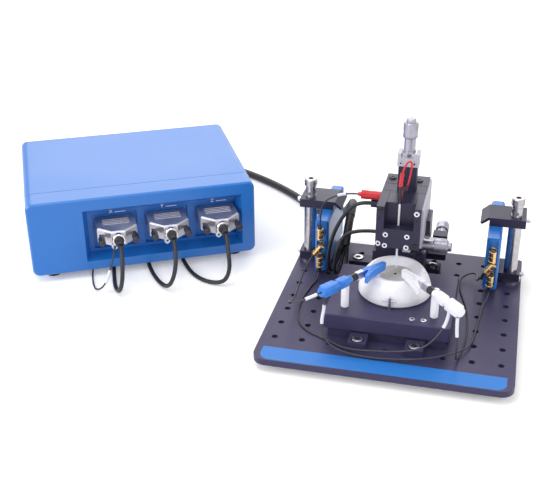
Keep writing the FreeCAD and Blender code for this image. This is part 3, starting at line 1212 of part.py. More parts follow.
def cords():
    """Every cord, each as a route through the air or along the surface that it lies on."""
    stage, box = stage_frame(), box_frame()
    bench = -size("feet_height + plate_thick")
    lift = bench + size("loom_radius") + 0.1
    loom_start = in_stage([(165, 196, 0)])[0]
    loom_start.z = lift
    loom_end = Vector(-62, 141, 25.5)
    loom = [
        loom_start, (-329.8, 341.2, lift), (-317, 368, lift), (-286, 383, lift), (-247, 381, lift), (-208, 360, lift),
        (-167, 331, lift), (-131, 296, lift), (-103, 260, lift + 6), (-78, 231, 18), (-66, 204, 44), (-62, 176, 54),
        (-61, 152.5, 45.5), loom_end]
    loom = [Vector(*point) for point in loom]
    tube("loom_cable", stage, loom, "loom_radius", limp=True)
    mid, low, top = spread(loom_end, loom[-1] - loom[-2], size("bundle_radius"), turn=-90)
    base_end = size("stage_front")
    tube("stage_cable_low", stage, [low, (-59.5, 137.5, 9), (-59, base_end + 10, 4.5), (-27.5, base_end + 4, 7)],
         "cable_radius", limp=True)
    tube("stage_cable_mid", stage, [mid, (-65, 139, 9), (-65.5, 122, 3.2), (-67, 106, 13), (-66, 108, 38),
                                    (-56, base_end + 14, 54), (-27, base_end + 14, 54)], "cable_radius", limp=True)
    tube("stage_cable_top", stage, [top, (-70, 138, 9), (-71.5, 124, 4), (-73, 109, 14), (-72, 102, 36), (-66, 94, 62),
                                    (-54, 87, 88), (-42, 85, 101), (-30, 85, 101)], "cable_radius", limp=True)
    floor = -size("feet_height") + size("plug_cable_radius") + 0.05
    start = size("port_depth + pocket_depth - hood_length - boot_length")
    height = size("hood_z")
    members = spread(box.inverse().multVec(stage.multVec(loom_start)), (-0.1, 1, 0), size("plug_bundle_radius"), turn=90)
    middles = [size(f"pocket_first + {i} * pocket_pitch") for i in range(3)]
    below = {
        "x": [(-2.7, -55, 12), (-5.7, -47, -3), (-8.7, -30, floor), (-6.7, 0, floor), (-2.7, 45, floor),
              (7.3, 95, floor), (30.3, 140, floor), (58.3, 172, floor)],
        "y": [(-4.1, -56, 12), (-10.1, -50, -3), (-17.1, -31, floor), (-22.1, 0, floor), (-21.1, 45, floor),
              (-14.1, 95, floor), (1.9, 140, floor), (17.9, 172, floor)],
        "z": [(-0.5, -57, 12), (-6.5, -54, -3), (-21.5, -44, floor), (-32.5, -26, floor), (-37.5, 0, floor),
              (-39.5, 45, floor), (-37.5, 95, floor), (-31.5, 140, floor), (-27.5, 172, floor)],
    }
    for name, middle, member in zip("xyz", middles, (members[2], members[0], members[1])):
        route = [(middle, start, height), (middle, start - 13.5, height - 1.5), (middle - 0.7, start - 25.5, height - 13)]
        route += [(middle + aside, back, up) for aside, back, up in below[name]]
        tube(f"plug_cable_{name}", box, route + [member], "plug_cable_radius", limp=True)
    earth = -size("feet_height") + size("earth_radius") + 0.05
    wire = [(-4.7, start + 2, height - 6), (-8.7, -34, 28), (-13.7, -40, 14), (-20.7, -40, 1), (-27.7, -30, earth),
            (-29.7, -14, earth), (-27.7, 12, earth), (-22.7, 40, earth + 1), (-18.7, 58, 0.4)]
    tube("earth_wire", box, [(middles[0] + aside, back, up) for aside, back, up in wire], "earth_radius", limp=True)
    rest = size("lead_radius") + 0.05
    blue, white = CLIPS["blue_clip"], CLIPS["white_clip"]
    side = size("pod_inner + pod_thick / 2")
    front = size("pod_front - coax_reach")
    low_end = size("coax_first - 2 * coax_pitch")
    lean = math.radians(size("coax_lean"))
    neck = size("coax_first - coax_pitch + coax_barrel - coax_barrel_radius")
    barrel = size("coax_barrel - coax_barrel_radius")
    out = Vector(-math.sin(lean), 0, -math.cos(lean))
    left = Vector(-side, front, neck) + out * barrel
    right = Vector(side, front, neck) + out * barrel
    tail = -size("collar_start + clip_collar_length + clip_boot_length + clip_socket_length")
    sink = -size("clip_sink")
    end = blue.multVec(Vector(tail, 0, sink))
    before = blue.multVec(Vector(tail - 16, 0, sink))
    tube("lead_blue_short", stage, [left, left + out * 12, (-97, 92, 8), (-95, 58, 8), (-91, 22, 22), (-86, -6, 43),
                                    (-76, -24, 53), before, end], "lead_radius", limp=True)
    tube("lead_white_left", stage, [
        (-side, front, low_end), (-side, front, rest), (-88, 90, rest), (-91, 58, rest), (-86, 30, rest),
        (-74, 14, rest), (-54, 5, rest), (-34, -10, 3), (-8, -12, 6), (16, -12, 9), (34, -13, 16), (45, -8, 27),
        boot_side(white, 16, 12), boot_side(white, 16, 0)], "lead_radius", limp=True)
    tube("lead_blue_long", stage, [
        boot_side(blue, 5, 0), boot_side(blue, 5, 13), (-57, -5, 24), (-52, -12, 10), (-38, -16, 4), (-14, -17, 2),
        (12, -16, 3), (36, -14, 6), (57, -3, 7), (72, 19, 2.2), (75, 48, rest), (77, 76, rest), (79, 98, rest),
        (side, front, rest), (side, front, low_end)], "lead_radius", limp=True)
    turn_in = right + out * 15
    tube("lead_white_right", stage, [
        boot_side(white, 4, 0), boot_side(white, 4, 13), (62, -12, 22), (61, -11, 8), (63, 1, rest), (66, 18, rest),
        (68, 40, rest), (67, 63, rest), (64, 88, rest), (58, 110, rest), (54, 128, 2), (55, 141, 4), (66, 148, 7),
        (72, 136, 10), turn_in, right], "lead_radius", limp=True)
    plug_end = Vector(size("head_left - plug_length"), size("plug_y"), size("plug_z"))
    first_neck = size("coax_first + coax_barrel - coax_barrel_radius")
    top_end = Vector(-side, front, first_neck + barrel)
    tube("plug_lead", stage, [plug_end, plug_end + Vector(-11, 0, 0), (-64, 92, 102), (-77, 103, 90),
                              top_end + Vector(0, 0, 17.5), top_end], "lead_radius", limp=True)
    cap = Vector(size("probe_x"), size("cell_y"), size("head_bottom + head_height + cap_height"))
    tube("probe_lead", stage, [cap, (-3, 65, 141), (0.5, 65.5, 153), (9.5, 68, 153), (11.5, 72, 141), (8, 77, 128),
                               (7, 79.5, 113)], "lead_radius", limp=True)


def boot_side(place, from_end, drop):
    """A point under the rear boot of a clip, 1 mm inside it and then so far down."""
    tail = -size("collar_start + clip_collar_length + clip_boot_length + clip_socket_length")
    point = place.multVec(Vector(tail + from_end, 0, -size("clip_sink")))
    return point + Vector(0, 0, 1 - size("clip_socket") - drop)


def check_and_save():
    """Stops on a broken feature and writes each sub-part to its own file."""
    os.makedirs("parts", exist_ok=True)
    doc.recompute()
    bad = [f"{item.Name} {item.State}" for item in doc.Objects if {"Invalid", "Error"} & set(item.State)]
    if bad:
        raise RuntimeError("broken features: " + ", ".join(bad))
    for item in SUBPARTS:
        if item.Shape.isNull() or not item.Shape.isValid():
            raise RuntimeError(f"{item.Label}: empty or invalid shape")
        item.Shape.exportStep(f"parts/{item.Label}.step")
    print(f"{len(SUBPARTS)} sub-parts written")


base_plate()
front_strip()
rubber_feet()
cell_platform()
mounting_screws()
cell_body()
sample_disc()
cell_contact()
cell_posts()
cell_thumb("cell_thumb_left", "probe_x - peg_spread")
cell_thumb("cell_thumb_right", "probe_x + peg_spread")
stage_base()
y_carriage()
x_carriage()
sleeve("x_sleeve", "x_sleeve_shown",
       at("table_left + table_width + bracket_gap + bracket_thick", "x_drive_y", "x_drive_z", *ALONG_X))
thimble("x_thimble", "x_sleeve_shown", "bracket_gap + bracket_thick",
        at("table_left + table_width + bracket_gap + bracket_thick", "x_drive_y", "x_drive_z", *ALONG_X))
sleeve("y_sleeve", "y_sleeve_shown", at("y_drive_x", "y_bracket_y + y_bracket_depth", "y_drive_z", *ALONG_Y))
thimble("y_thimble", "y_sleeve_shown", "y_bracket_depth + bracket_gap",
        at("y_drive_x", "y_bracket_y + y_bracket_depth", "y_drive_z", *ALONG_Y))
head_block()
head_front()
head_screws()
head_side_cover()
drive_column()
drive_yoke()
sleeve("z_sleeve", "z_sleeve_shown", at("drive_x", "drive_y", "head_bottom + head_height + column_height + yoke_height"))
thimble("z_thimble", "z_sleeve_shown",
        "head_bottom + head_height + column_height + yoke_height - tongue_bottom - tongue_height",
        at("drive_x", "drive_y", "head_bottom + head_height + column_height + yoke_height"))
z_carriage()
probe()
red_plug()
posts()
post_shoes()
clamp_arms()
pods()
coax_plugs()
post_knob("post_knob_left", "-1")
post_knob("post_knob_right", "1")
case_cover()
front_bezel()
connector_panel()
case_base()
plug_hoods()
jack_screws()
for clip, clip_at in CLIPS.items():
    clip_body(f"{clip}_body", clip_at)
    clip_jaw(f"{clip}_jaw", clip_at)
cords()
check_and_save()
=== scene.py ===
import math

import bmesh
import bpy
from mathutils import Euler, Matrix, Vector


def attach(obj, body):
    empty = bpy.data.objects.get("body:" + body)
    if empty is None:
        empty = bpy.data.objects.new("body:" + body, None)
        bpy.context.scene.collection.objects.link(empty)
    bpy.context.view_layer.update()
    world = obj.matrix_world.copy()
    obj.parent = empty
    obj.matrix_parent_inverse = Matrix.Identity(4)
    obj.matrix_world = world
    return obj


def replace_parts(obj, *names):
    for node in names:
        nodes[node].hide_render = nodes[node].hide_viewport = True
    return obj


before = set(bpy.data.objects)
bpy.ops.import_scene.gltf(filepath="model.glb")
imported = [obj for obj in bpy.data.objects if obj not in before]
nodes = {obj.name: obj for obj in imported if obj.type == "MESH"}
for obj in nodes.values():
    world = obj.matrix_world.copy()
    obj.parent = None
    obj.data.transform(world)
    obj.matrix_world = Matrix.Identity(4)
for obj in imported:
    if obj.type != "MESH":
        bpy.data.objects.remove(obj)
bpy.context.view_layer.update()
scene = bpy.context.scene

# The table the instrument stands on: a pale sheet under soft studio lamps.
# The eye stands in front of the bench, a little above it, as in the catalogue picture.
scene.view_settings.view_transform = "Standard"
eye = bpy.data.cameras.new("Eye")
eye.lens = 62.52
eye.sensor_width = 36.0
eye.clip_end = 20.0
eye_stand = bpy.data.objects.new("Eye", eye)
eye_stand.location = (0.248937, -0.854836, 0.492853)
eye_stand.rotation_euler = [math.radians(a) for a in (62.0609, 0.2423, 13.7968)]
scene.collection.objects.link(eye_stand)
scene.camera = eye_stand

for label, place, width, power, tint in (
    ("LampBehind", (-0.35, 1.55, 1.05), 2.0, 15.0, (1.0, 0.975, 0.955)),
    ("LampAbove", (-0.25, -0.35, 1.60), 1.3, 10.5, (1.0, 0.99, 0.98)),
    ("LampLeft", (-1.20, -1.10, 0.80), 1.1, 16.5, (0.98, 0.98, 1.0)),
    ("LampRight", (1.30, -0.75, 0.85), 1.1, 8.2, (1.0, 0.98, 0.98)),
):
    lamp = bpy.data.lights.new(label, "AREA")
    lamp.shape = "DISK"
    lamp.size = width
    lamp.energy = power
    lamp.color = tint
    lamp_stand = bpy.data.objects.new(label, lamp)
    lamp_stand.location = place
    aim = Vector((0.0, 0.0, 0.05)) - Vector(place)
    lamp_stand.rotation_euler = aim.to_track_quat("-Z", "Y").to_euler()
    scene.collection.objects.link(lamp_stand)

room = bpy.data.worlds.new("Room")
room.use_nodes = True
scene.world = room
room_nodes, room_links = room.node_tree.nodes, room.node_tree.links
room_glow = room_nodes["Background"]
room_glow.inputs["Color"].default_value = (1.0, 1.0, 1.0, 1.0)
room_ray = room_nodes.new("ShaderNodeLightPath")
seen = room_nodes.new("ShaderNodeMath")
seen.operation = "MAXIMUM"
room_links.new(room_ray.outputs["Is Camera Ray"], seen.inputs[0])
room_links.new(room_ray.outputs["Is Glossy Ray"], seen.inputs[1])
seen_too = room_nodes.new("ShaderNodeMath")
seen_too.operation = "MAXIMUM"
room_links.new(seen.outputs[0], seen_too.inputs[0])
room_links.new(room_ray.outputs["Is Transmission Ray"], seen_too.inputs[1])
glow = room_nodes.new("ShaderNodeMapRange")
glow.inputs["To Min"].default_value = 0.5
glow.inputs["To Max"].default_value = 1.0
room_links.new(seen_too.outputs[0], glow.inputs["Value"])
room_links.new(glow.outputs["Result"], room_glow.inputs["Strength"])

table_shape = bmesh.new()
bmesh.ops.create_grid(table_shape, x_segments=1, y_segments=1, size=4.0)
table_mesh = bpy.data.meshes.new("Table")
table_shape.to_mesh(table_mesh)
table_shape.free()
table = bpy.data.objects.new("Table", table_mesh)
scene.collection.objects.link(table)
table_paper = bpy.data.materials.new("TablePaper")
table_paper.use_nodes = True
paper_nodes, paper_links = table_paper.node_tree.nodes, table_paper.node_tree.links
paper = paper_nodes["Principled BSDF"]
paper.inputs["Base Color"].default_value = (0.93, 0.93, 0.935, 1.0)
paper.inputs["Roughness"].default_value = 0.9
paper.inputs["Specular IOR Level"].default_value = 0.1
paper_ray = paper_nodes.new("ShaderNodeLightPath")
paper_seen = paper_nodes.new("ShaderNodeMath")
paper_seen.operation = "MAXIMUM"
paper_links.new(paper_ray.outputs["Is Camera Ray"], paper_seen.inputs[0])
paper_links.new(paper_ray.outputs["Is Glossy Ray"], paper_seen.inputs[1])
paper_white = paper_nodes.new("ShaderNodeMath")
paper_white.operation = "MULTIPLY"
paper_white.inputs[1].default_value = 0.22
paper_links.new(paper_seen.outputs[0], paper_white.inputs[0])
paper.inputs["Emission Color"].default_value = (1.0, 1.0, 1.0, 1.0)
paper_links.new(paper_white.outputs[0], paper.inputs["Emission Strength"])
table_mesh.materials.append(table_paper)

# Cable jackets: black extruded rubber on the data cables, thin grey silicone on the test leads.
# They lie loose between the units, held only by their plugs, clips and ring terminals.
face_grain = bpy.data.node_groups.new("FaceGrain", "ShaderNodeTree")
for label, kind, flow, rest in (
    ("Fineness", "NodeSocketFloat", "INPUT", 900.0),
    ("Drift", "NodeSocketFloat", "INPUT", 14.0),
    ("Tone", "NodeSocketFloat", "OUTPUT", 0.5),
    ("Rub", "NodeSocketFloat", "OUTPUT", 0.5),
    ("Height", "NodeSocketFloat", "OUTPUT", 0.5),
):
    made_socket = face_grain.interface.new_socket(name=label, in_out=flow, socket_type=kind)
    made_socket.default_value = rest
grain_in = face_grain.nodes.new("NodeGroupInput")
grain_out = face_grain.nodes.new("NodeGroupOutput")
grain_where = face_grain.nodes.new("ShaderNodeTexCoord")
for label, source, detail in (("Height", "Fineness", 2.0), ("Rub", "Drift", 4.0)):
    pattern = face_grain.nodes.new("ShaderNodeTexNoise")
    pattern.inputs["Detail"].default_value = detail
    face_grain.links.new(grain_where.outputs["Object"], pattern.inputs["Vector"])
    face_grain.links.new(grain_in.outputs[source], pattern.inputs["Scale"])
    face_grain.links.new(pattern.outputs["Fac"], grain_out.inputs[label])
    if label == "Rub":
        mottle = pattern
    else:
        speck = pattern
tone_sum = face_grain.nodes.new("ShaderNodeMath")
tone_sum.operation = "MULTIPLY_ADD"
tone_sum.inputs[1].default_value = 0.55
face_grain.links.new(speck.outputs["Fac"], tone_sum.inputs[0])
half_mottle = face_grain.nodes.new("ShaderNodeMath")
half_mottle.operation = "MULTIPLY"
half_mottle.inputs[1].default_value = 0.45
face_grain.links.new(mottle.outputs["Fac"], half_mottle.inputs[0])
face_grain.links.new(half_mottle.outputs[0], tone_sum.inputs[2])
face_grain.links.new(tone_sum.outputs[0], grain_out.inputs["Tone"])


def ink(red, green, blue):
    """A colour as a paint card gives it, 0 to 255, for a shader."""
    parts = [c / 255.0 for c in (red, green, blue)]
    return tuple(c / 12.92 if c <= 0.04045 else ((c + 0.055) / 1.055) ** 2.4 for c in parts) + (1.0,)


def coating(name, colour, shade, rough, metal=0.0, fineness=900.0, drift=14.0, depth=0.02, swing=0.08, coat=0.0):
    """A sprayed, moulded, anodised or plated face: two tones, a fine grain and rubbed patches."""
    finish = bpy.data.materials.new(name)
    finish.use_nodes = True
    tree = finish.node_tree
    shader = tree.nodes["Principled BSDF"]
    grain = tree.nodes.new("ShaderNodeGroup")
    grain.node_tree = face_grain
    grain.inputs["Fineness"].default_value = fineness
    grain.inputs["Drift"].default_value = drift
    spread = tree.nodes.new("ShaderNodeMapRange")
    spread.inputs["From Min"].default_value = 0.3
    spread.inputs["From Max"].default_value = 0.7
    tree.links.new(grain.outputs["Tone"], spread.inputs["Value"])
    tones = tree.nodes.new("ShaderNodeMix")
    tones.data_type = "RGBA"
    tones.inputs[6].default_value = shade
    tones.inputs[7].default_value = colour
    tree.links.new(spread.outputs["Result"], tones.inputs[0])
    tree.links.new(tones.outputs[2], shader.inputs["Base Color"])
    rubbed = tree.nodes.new("ShaderNodeMapRange")
    rubbed.inputs["From Min"].default_value = 0.3
    rubbed.inputs["From Max"].default_value = 0.7
    rubbed.inputs["To Min"].default_value = max(0.02, rough - swing)
    rubbed.inputs["To Max"].default_value = min(1.0, rough + swing)
    tree.links.new(grain.outputs["Rub"], rubbed.inputs["Value"])
    tree.links.new(rubbed.outputs["Result"], shader.inputs["Roughness"])
    relief = tree.nodes.new("ShaderNodeBump")
    relief.inputs["Strength"].default_value = 0.6
    relief.inputs["Distance"].default_value = depth * 0.001
    tree.links.new(grain.outputs["Height"], relief.inputs["Height"])
    tree.links.new(relief.outputs["Normal"], shader.inputs["Normal"])
    shader.inputs["Metallic"].default_value = metal
    shader.inputs["Coat Weight"].default_value = coat
    shader.inputs["Coat Roughness"].default_value = 0.12
    return finish


def lay_cord(name, body, node, radius, jacket, route):
    """One loose cable on its own smooth line; it stands for the plain tube of the frame."""
    line = bpy.data.curves.new(name, "CURVE")
    line.dimensions = "3D"
    line.bevel_depth = radius * 0.001
    line.bevel_resolution = 5
    line.resolution_u = 14
    line.use_fill_caps = True
    run = line.splines.new("NURBS")
    run.points.add(len(route) - 1)
    for point, place in zip(run.points, route):
        point.co = (*place, 1.0)
    run.order_u = 3
    run.use_endpoint_u = True
    line.materials.append(jacket)
    cord = bpy.data.objects.new(name, line)
    scene.collection.objects.link(cord)
    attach(cord, body)
    if node:
        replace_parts(cord, node)
    return cord


rubber_jacket = coating("RubberJacket", ink(34, 33, 42), ink(22, 22, 28), 0.5, fineness=420.0, drift=30.0, depth=0.05)
lead_jacket = coating("LeadJacket", ink(62, 61, 72), ink(40, 40, 50), 0.48, fineness=700.0, drift=40.0, depth=0.03)
red_jacket = coating("RedJacket", ink(214, 40, 48), ink(170, 24, 34), 0.38, fineness=700.0, drift=40.0, depth=0.03)

loom = lay_cord("LoomCable", "bench_units", "loom_cable", 4.2, rubber_jacket, [
    (-0.1458, 0.1681, 0.0043), (-0.1632, 0.2007, 0.0043), (-0.1504, 0.2275, 0.0043), (-0.1194, 0.2425, 0.0043),
    (-0.0804, 0.2405, 0.0043), (-0.0414, 0.2195, 0.0043), (-0.0004, 0.1905, 0.0043), (0.0356, 0.1555, 0.0043),
    (0.0636, 0.1195, 0.0103), (0.0886, 0.0905, 0.0320), (0.1006, 0.0635, 0.0580), (0.1046, 0.0355, 0.0680),
    (0.1056, 0.0120, 0.0595), (0.1046, 0.0005, 0.0395)])
lay_cord("StageCableLow", "bench_units", "stage_cable_low", 1.8, rubber_jacket, [
    (0.1064, -0.0006, 0.0400), (0.1071, -0.0030, 0.0230), (0.1076, -0.0225, 0.0185), (0.1391, -0.0285, 0.0210)])
lay_cord("StageCableMiddle", "bench_units", "stage_cable_mid", 1.8, rubber_jacket, [
    (0.1048, 0.0024, 0.0384), (0.1016, -0.0015, 0.0230), (0.1011, -0.0185, 0.0172), (0.0996, -0.0345, 0.0270),
    (0.1006, -0.0325, 0.0520), (0.1106, -0.0185, 0.0680), (0.1396, -0.0185, 0.0680)])
lay_cord("StageCableTop", "bench_units", "stage_cable_top", 1.8, rubber_jacket, [
    (0.1027, -0.0003, 0.0400), (0.0966, -0.0025, 0.0230), (0.0951, -0.0165, 0.0180), (0.0936, -0.0315, 0.0280),
    (0.0946, -0.0385, 0.0500), (0.1006, -0.0465, 0.0760), (0.1126, -0.0535, 0.1020), (0.1246, -0.0555, 0.1150),
    (0.1366, -0.0555, 0.1150)])
lay_cord("PlugCableX", "bench_units", "plug_cable_x", 2.15, rubber_jacket, [
    (-0.1098, -0.0660, 0.0510), (-0.1034, -0.0779, 0.0495), (-0.0984, -0.0888, 0.0380), (-0.0992, -0.0915, 0.0200),
    (-0.1056, -0.0859, 0.0050), (-0.1163, -0.0723, 0.0022), (-0.1286, -0.0449, 0.0022), (-0.1462, -0.0033, 0.0022),
    (-0.1609, 0.0456, 0.0022), (-0.1618, 0.0961, 0.0022), (-0.1522, 0.1375, 0.0022), (-0.1476, 0.1668, 0.0030)])
lay_cord("PlugCableY", "bench_units", "plug_cable_y", 2.15, rubber_jacket, [
    (-0.0635, -0.0413, 0.0510), (-0.0572, -0.0532, 0.0495), (-0.0521, -0.0642, 0.0380), (-0.0537, -0.0684, 0.0200),
    (-0.0618, -0.0659, 0.0050), (-0.0770, -0.0525, 0.0022), (-0.0960, -0.0275, 0.0022), (-0.1162, 0.0127, 0.0022),
    (-0.1336, 0.0601, 0.0022), (-0.1406, 0.1074, 0.0022), (-0.1416, 0.1431, 0.0022), (-0.1458, 0.1681, 0.0068)])
lay_cord("PlugCableZ", "bench_units", "plug_cable_z", 2.15, rubber_jacket, [
    (-0.0173, -0.0167, 0.0510), (-0.0109, -0.0286, 0.0495), (-0.0059, -0.0395, 0.0380), (-0.0038, -0.0430, 0.0200),
    (-0.0105, -0.0431, 0.0050), (-0.0285, -0.0414, 0.0022), (-0.0467, -0.0307, 0.0022), (-0.0633, -0.0101, 0.0022),
    (-0.0862, 0.0287, 0.0022), (-0.1080, 0.0738, 0.0022), (-0.1239, 0.1163, 0.0022), (-0.1354, 0.1464, 0.0022),
    (-0.1440, 0.1693, 0.0030)])
earth = lay_cord("EarthWire", "bench_units", "earth_wire", 0.9, lead_jacket, [
    (-0.1148, -0.0664, 0.0450), (-0.1144, -0.0758, 0.0360), (-0.1160, -0.0835, 0.0220), (-0.1221, -0.0868, 0.0090),
    (-0.1330, -0.0812, 0.0010), (-0.1423, -0.0680, 0.0010), (-0.1528, -0.0442, 0.0010), (-0.1615, -0.0171, 0.0020),
    (-0.1665, 0.0007, 0.0084)])
blue_short = lay_cord("LeadBlueShort", "bench_units", "lead_blue_short", 0.85, lead_jacket, [
    (0.0791, -0.0275, 0.0411), (0.0722, -0.0275, 0.0313), (0.0696, -0.0485, 0.0220), (0.0716, -0.0825, 0.0220),
    (0.0756, -0.1185, 0.0360), (0.0806, -0.1465, 0.0570), (0.0906, -0.1645, 0.0670), (0.1020, -0.1633, 0.0717),
    (0.1100, -0.1495, 0.0707)])
white_left = lay_cord("LeadWhiteLeft", "bench_units", "lead_white_left", 0.85, lead_jacket, [
    (0.0838, -0.0275, 0.0266), (0.0838, -0.0275, 0.0149), (0.0786, -0.0505, 0.0149), (0.0756, -0.0825, 0.0149),
    (0.0806, -0.1105, 0.0149), (0.0926, -0.1265, 0.0149), (0.1126, -0.1355, 0.0149), (0.1326, -0.1505, 0.0170),
    (0.1586, -0.1525, 0.0200), (0.1826, -0.1525, 0.0230), (0.2006, -0.1535, 0.0300), (0.2116, -0.1485, 0.0410),
    (0.2187, -0.1410, 0.0537), (0.2187, -0.1410, 0.0657)])
blue_long = lay_cord("LeadBlueLong", "bench_units", "lead_blue_long", 0.85, lead_jacket, [
    (0.1126, -0.1452, 0.0671), (0.1126, -0.1452, 0.0541), (0.1096, -0.1455, 0.0380), (0.1146, -0.1525, 0.0240),
    (0.1286, -0.1565, 0.0180), (0.1526, -0.1575, 0.0160), (0.1786, -0.1565, 0.0170), (0.2026, -0.1545, 0.0200),
    (0.2236, -0.1435, 0.0210), (0.2386, -0.1215, 0.0162), (0.2416, -0.0925, 0.0149), (0.2436, -0.0645, 0.0149),
    (0.2456, -0.0425, 0.0149), (0.2493, -0.0275, 0.0149), (0.2493, -0.0275, 0.0266)])
white_right = lay_cord("LeadWhiteRight", "bench_units", "lead_white_right", 0.85, lead_jacket, [
    (0.2264, -0.1502, 0.0662), (0.2264, -0.1502, 0.0532), (0.2286, -0.1525, 0.0360), (0.2276, -0.1515, 0.0220),
    (0.2296, -0.1395, 0.0149), (0.2326, -0.1225, 0.0149), (0.2346, -0.1005, 0.0149), (0.2336, -0.0775, 0.0149),
    (0.2306, -0.0525, 0.0149), (0.2246, -0.0305, 0.0149), (0.2206, -0.0125, 0.0160), (0.2216, 0.0005, 0.0180),
    (0.2326, 0.0075, 0.0210), (0.2386, -0.0045, 0.0240), (0.2360, -0.0275, 0.0288), (0.2446, -0.0275, 0.0411)])
plug_lead = lay_cord("PlugLead", "bench_units", "plug_lead", 0.85, lead_jacket, [
    (0.1276, -0.0555, 0.1230), (0.1166, -0.0555, 0.1230), (0.1026, -0.0485, 0.1160), (0.0896, -0.0375, 0.1040),
    (0.0838, -0.0275, 0.0867), (0.0838, -0.0275, 0.0692)])
probe_lead = lay_cord("ProbeLead", "z_stage", "probe_lead", 0.85, red_jacket, [
    (0.1647, -0.0755, 0.1420), (0.1646, -0.0755, 0.1530), (0.1690, -0.0750, 0.1665), (0.1735, -0.0745, 0.1675),
    (0.1726, -0.0745, 0.1560), (0.1712, -0.0733, 0.1470), (0.1695, -0.0720, 0.1405), (0.1664, -0.0710, 0.1370),
    (0.1653, -0.0702, 0.1320), (0.1652, -0.0700, 0.1265)])

# The perforated bench plate: cast aluminium plate, milled, drilled on a 25 mm grid and hard anodised black.
# Every hole has a small countersink, and both units stand on turned rubber feet.
on_plate = Matrix.Translation((0.1666, -0.1405, 0.014)) @ Matrix.Scale(0.001, 4)


def dress(finish, *names):
    """Gives frame parts, as they are, their finish."""
    for name in names:
        for place in nodes[name].material_slots:
            place.material = finish


def poured(shape, part, foot, axis, finish):
    """Sets a form on its foot, leans it to its axis and adds it to the piece."""
    lean = Vector((0, 0, 1)).rotation_difference(Vector(axis)).to_matrix().to_4x4()
    bmesh.ops.transform(part, matrix=Matrix.Translation(foot) @ lean, verts=part.verts)
    for face in part.faces:
        face.material_index = finish
    carrier = bpy.data.meshes.new("Carrier")
    part.to_mesh(carrier)
    part.free()
    shape.from_mesh(carrier)
    bpy.data.meshes.remove(carrier)


def turned(shape, profile, foot=(0, 0, 0), axis=(0, 0, 1), steps=40, finish=0):
    """A lathe-turned form: radius and height pairs about an axis that stands on its foot."""
    part = bmesh.new()
    line = [part.verts.new((radius, 0.0, height)) for radius, height in profile]
    edges = [part.edges.new(pair) for pair in zip(line, line[1:])]
    bmesh.ops.spin(part, geom=line + edges, cent=(0, 0, 0), axis=(0, 0, 1), angle=math.tau, steps=steps,
                   use_merge=True)
    bmesh.ops.remove_doubles(part, verts=part.verts, dist=0.0005)
    bmesh.ops.recalc_face_normals(part, faces=part.faces)
    poured(shape, part, foot, axis, finish)


def milled(shape, size, centre, turn=(0, 0, 0), ease=0.3, segments=2, finish=0):
    """A milled block with its edges eased."""
    raw = bmesh.ops.create_cube(shape, size=1.0)["verts"]
    bmesh.ops.scale(shape, vec=size, verts=raw)
    edges = list({e for v in raw for e in v.link_edges})
    eased = bmesh.ops.bevel(shape, geom=edges, offset=ease, offset_type="OFFSET", affect="EDGES", segments=segments,
                            profile=0.5, material=-1, clamp_overlap=True)
    fresh = list({v for f in eased["faces"] for v in f.verts})
    lean = Euler([math.radians(a) for a in turn]).to_matrix().to_4x4()
    bmesh.ops.transform(shape, matrix=Matrix.Translation(centre) @ lean, verts=fresh)
    for face in {f for v in fresh for f in v.link_faces}:
        face.material_index = finish
    return fresh


def made(name, shape, place, body, slot, *finishes, crease=32.0):
    """The finished piece: its mesh in place, its edges creased, and carried by its body."""
    bmesh.ops.recalc_face_normals(shape, faces=shape.faces)
    bmesh.ops.transform(shape, matrix=place, verts=shape.verts)
    mesh = bpy.data.meshes.new(name)
    shape.to_mesh(mesh)
    shape.free()
    for finish in finishes:
        mesh.materials.append(finish)
    mesh.polygons.foreach_set("use_smooth", [True] * len(mesh.polygons))
    mesh.set_sharp_from_angle(angle=math.radians(crease))
    piece = bpy.data.objects.new(name, mesh)
    scene.collection.objects.link(piece)
    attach(piece, body)
    return piece


black_anodise = coating("BlackAnodise", ink(61, 58, 87), ink(51, 48, 76), 0.42, fineness=1400.0, drift=9.0,
                        depth=0.03)
# A darker copy of the same black anodise for the stage, head, post shoes and clamp arms: painted shade for the shade
# these parts stand in.
anodise_painted_shade = coating("AnodisePaintedShade", ink(46, 44, 64), ink(37, 35, 53), 0.40, fineness=1400.0, drift=14.0,
                        depth=0.03)
for hard_coat in (black_anodise, anodise_painted_shade):
    hard_coat.node_tree.nodes["Principled BSDF"].inputs["Specular IOR Level"].default_value = 0.36
    hard_coat.node_tree.nodes["Principled BSDF"].inputs["Specular Tint"].default_value = (0.80, 0.77, 1.0, 1.0)
foot_rubber = coating("FootRubber", ink(44, 44, 50), ink(30, 30, 36), 0.75, fineness=500.0, drift=30.0, depth=0.08)
dress(black_anodise, "base_plate", "cell_platform")
# The stage base takes the darker anodise copy: painted shade.
dress(anodise_painted_shade, "stage_base")
dress(foot_rubber, "rubber_feet")
hole_rims = bmesh.new()
for column in range(-4, 5):
    for row in range(8):
        turned(hole_rims, ((2.80, -0.6), (2.83, 0.0), (3.3, 0.03), (3.4, -0.02)), (column * 25.0, row * 25.0, 0.0),
               steps=20)
made("HoleRims", hole_rims, on_plate, "bench_units", "black_anodised", black_anodise)

# The blue name strip set into the plate's front: a printed polyester label under a clear film.
# The place where the maker's words stood is left bare.
label_blue = coating("LabelBlue", ink(28, 116, 198), ink(24, 109, 192), 0.46, fineness=600.0, drift=6.0, depth=0.004)
dress(label_blue, "front_strip")

# The screws that hold the cell platform and the stage: stainless cap screws in counterbored lugs.
# Two countersunk screws close the clamp under the platform's top.
bright_steel = coating("BrightSteel", ink(222, 222, 230), ink(190, 190, 202), 0.26, metal=1.0, fineness=300.0,
                       drift=50.0, depth=0.01)
# Sockets and holes get a flat dark finish: painted shade standing for the depth of the recess.
socket_painted_shade = coating("SocketPaintedShade", ink(34, 33, 42), ink(22, 22, 28), 0.6, metal=0.3, fineness=800.0, drift=60.0,
                      depth=0.02)
dress(bright_steel, "mounting_screws")


